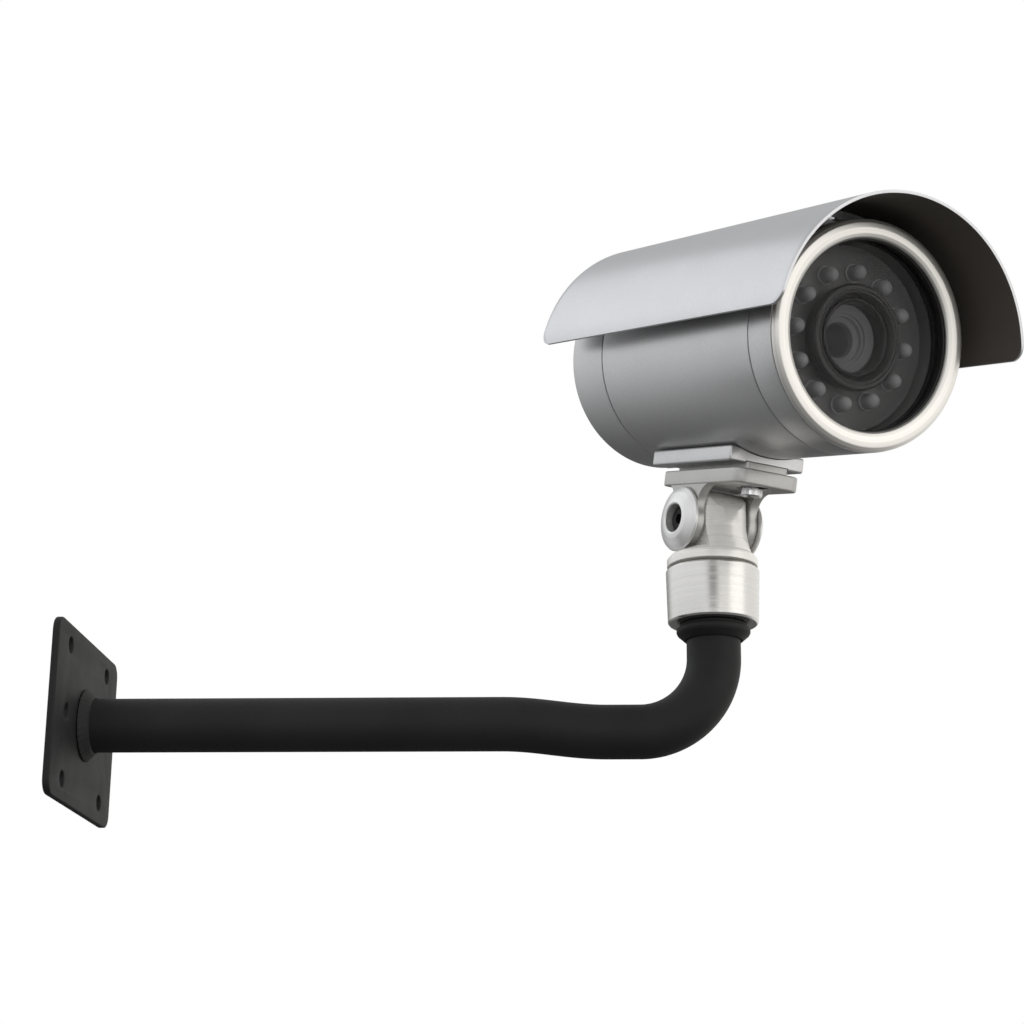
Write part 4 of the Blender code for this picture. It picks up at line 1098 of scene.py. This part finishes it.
def sunshield():
    sheet = rolled_sheet()
    bake(sheet)
    for x in SHIELD_SCREWS:
        place = BARREL @ at(x, 0, SHIELD_R - SHIELD_DROP)
        slot = plate("slot", [slot_outline(-SLOT_HALF, SLOT_HALF, SLOT_R)], 8, SHADE_SILVER, place, 0.01)
        combine(sheet, "DIFFERENCE", slot)
    # Only inner faces from 70 mm forward stay dark brown-black; the rest go back to the silver.
    to_barrel = BARREL.inverted()
    for face in sheet.data.polygons:
        if face.material_index == 1 and (to_barrel @ face.center).x < INNER_DARK_FROM * MM:
            face.material_index = 0
    smooth(sheet.data)
    return sheet


settle(sunshield(), "sunshield", "silver_paint", "sunshield")

# %% [markdown]
# ### Shield screws
# Two domed screws hold the shield through its slots. Both are turned from one outline, and a
# hex socket is cut in each head.

# %% Domed screws
def domed_screw(end, x):
    outline = [(0, 54.5), (1.6, 54.4), (2.6, 54.05), (3.4, 53.4, 0.2), (3.8, 52.8, 0.2), (3.8, 52.1, 0.1),
               (2.0, 52.1), (2.0, 37.0), (0, 37.0)]
    screw = turned("shield_screw_%s_domed" % end, outline, SCREW, BARREL @ at(x), 64)
    socket = plate("socket", [hexagon(2.5)], 4.0, SCREW, BARREL @ at(x, 0, 55.2), 0.01)
    settle(carve(screw, "DIFFERENCE", socket), "camera", "screw_steel", "shield_screw_" + end)


for end, x in zip(("rear", "front"), SHIELD_SCREWS):
    domed_screw(end, x)

# %% [markdown]
# ## Cable gland
# The gland's cap has grip flutes round it. Flutes repeat, so a tree sets small bars round the
# turned cap and joins them on.

# %% Fluted gland cap
def flute_tree():
    tree, given, out = node_tree("grip_flutes", Count=16, Ring_Radius=0.0074, Width=0.0011, Length=0.008)
    ring, bar = add(tree, "GeometryNodeMeshCircle"), add(tree, "GeometryNodeMeshCylinder", Vertices=10)
    put = add(tree, "GeometryNodeInstanceOnPoints")
    join(tree, (given, "Count", ring, "Vertices"), (given, "Ring Radius", ring, "Radius"),
         (given, "Width", bar, "Radius"), (given, "Length", bar, "Depth"),
         (ring, "Mesh", put, "Points"), (bar, "Mesh", put, "Instance"))
    finish_tree(tree, put.outputs["Instances"], out, PLASTIC)
    return tree


FLUTES = flute_tree()
GLAND_TAIL = -72.5


def fluted(name, shell, count, reach, width, length, middle):
    """A turned shell with bars joined round it."""
    bars = grown(name + "_bars", seed_object(name + "_seed"), FLUTES,
                 {"Count": count, "Ring Radius": reach * MM, "Width": width * MM, "Length": length * MM},
                 BARREL @ at(middle) @ ALONG_X, PLASTIC)
    return carve(shell, "UNION", bars)


cap_shell = barrel_piece("gland_cap_fluted", [
    (3.4, GLAND_TAIL), (4.6, GLAND_TAIL, 0.3), (6.2, GLAND_TAIL + 1.2, 0.8), (7.2, GLAND_TAIL + 4.0, 0.8),
    (7.2, -60.8, 0.3), (6.3, -60.8), (6.3, GLAND_TAIL + 6.7), (3.4, GLAND_TAIL + 3.0)], PLASTIC, 96)
settle(fluted("gland_cap", cap_shell, 14, 7.0, 0.6, 6.6, -64.4), "camera", "black_plastic", "gland_cap")
focus_shell = barrel_piece("focus_ring_knurled", [
    (11.3, 53.0, 0.2), (14.8, 53.0, 0.4), (14.8, 64.0, 0.4), (11.3, 64.0, 0.2)], PLASTIC, 120)
focus_ring = fluted("focus_ring", focus_shell, 36, 14.7, 0.5, 8.6, 58.5)
settle(focus_ring, "focus_ring", "black_plastic", "focus_ring")

# %% [markdown]
# ## What stays as the frame made it
# Bolts, nuts, washers, boards and the small parts inside already have their right shape. They
# keep it and only take a finish.

# %% Finishes for carried-over nodes
CARRIED = {
    SCREW: ("collar_grub_screw", "pan_bolt", "pan_nut", "pan_spring_washer", "rail_screw_front",
            "rail_screw_rear", "rail_clamp_screw", "tilt_nut", *("board_rod_%d" % i for i in range(1, 5))),
    NYLON: ("pan_bearing_washer", "tilt_washer_right", "tilt_washer_left"),
    SILVER: ("shield_pad",),
    RUBBER: ("rear_o_ring", "front_o_ring", "gland_seal"),
    PLASTIC: ("gland_body", "gland_locknut", "lens_holder", "ircut_housing", "ircut_frame", "image_sensor",
              "board_sled", "led_harness"),
    LENS: ("ircut_filter",),
    BOARD: ("sensor_board", "main_board", "power_board"),
}
for material, names in CARRIED.items():
    for name in names:
        node = nodes[name]
        for slot in node.material_slots:
            slot.material = material
        if not node.material_slots:
            node.data.materials.append(material)
finished = [name for names in CARRIED.values() for name in names]
left_plain = [name for name, node in nodes.items() if not node.hide_render and name not in finished]
print("carried over:", len(finished), "left plain:", left_plain)
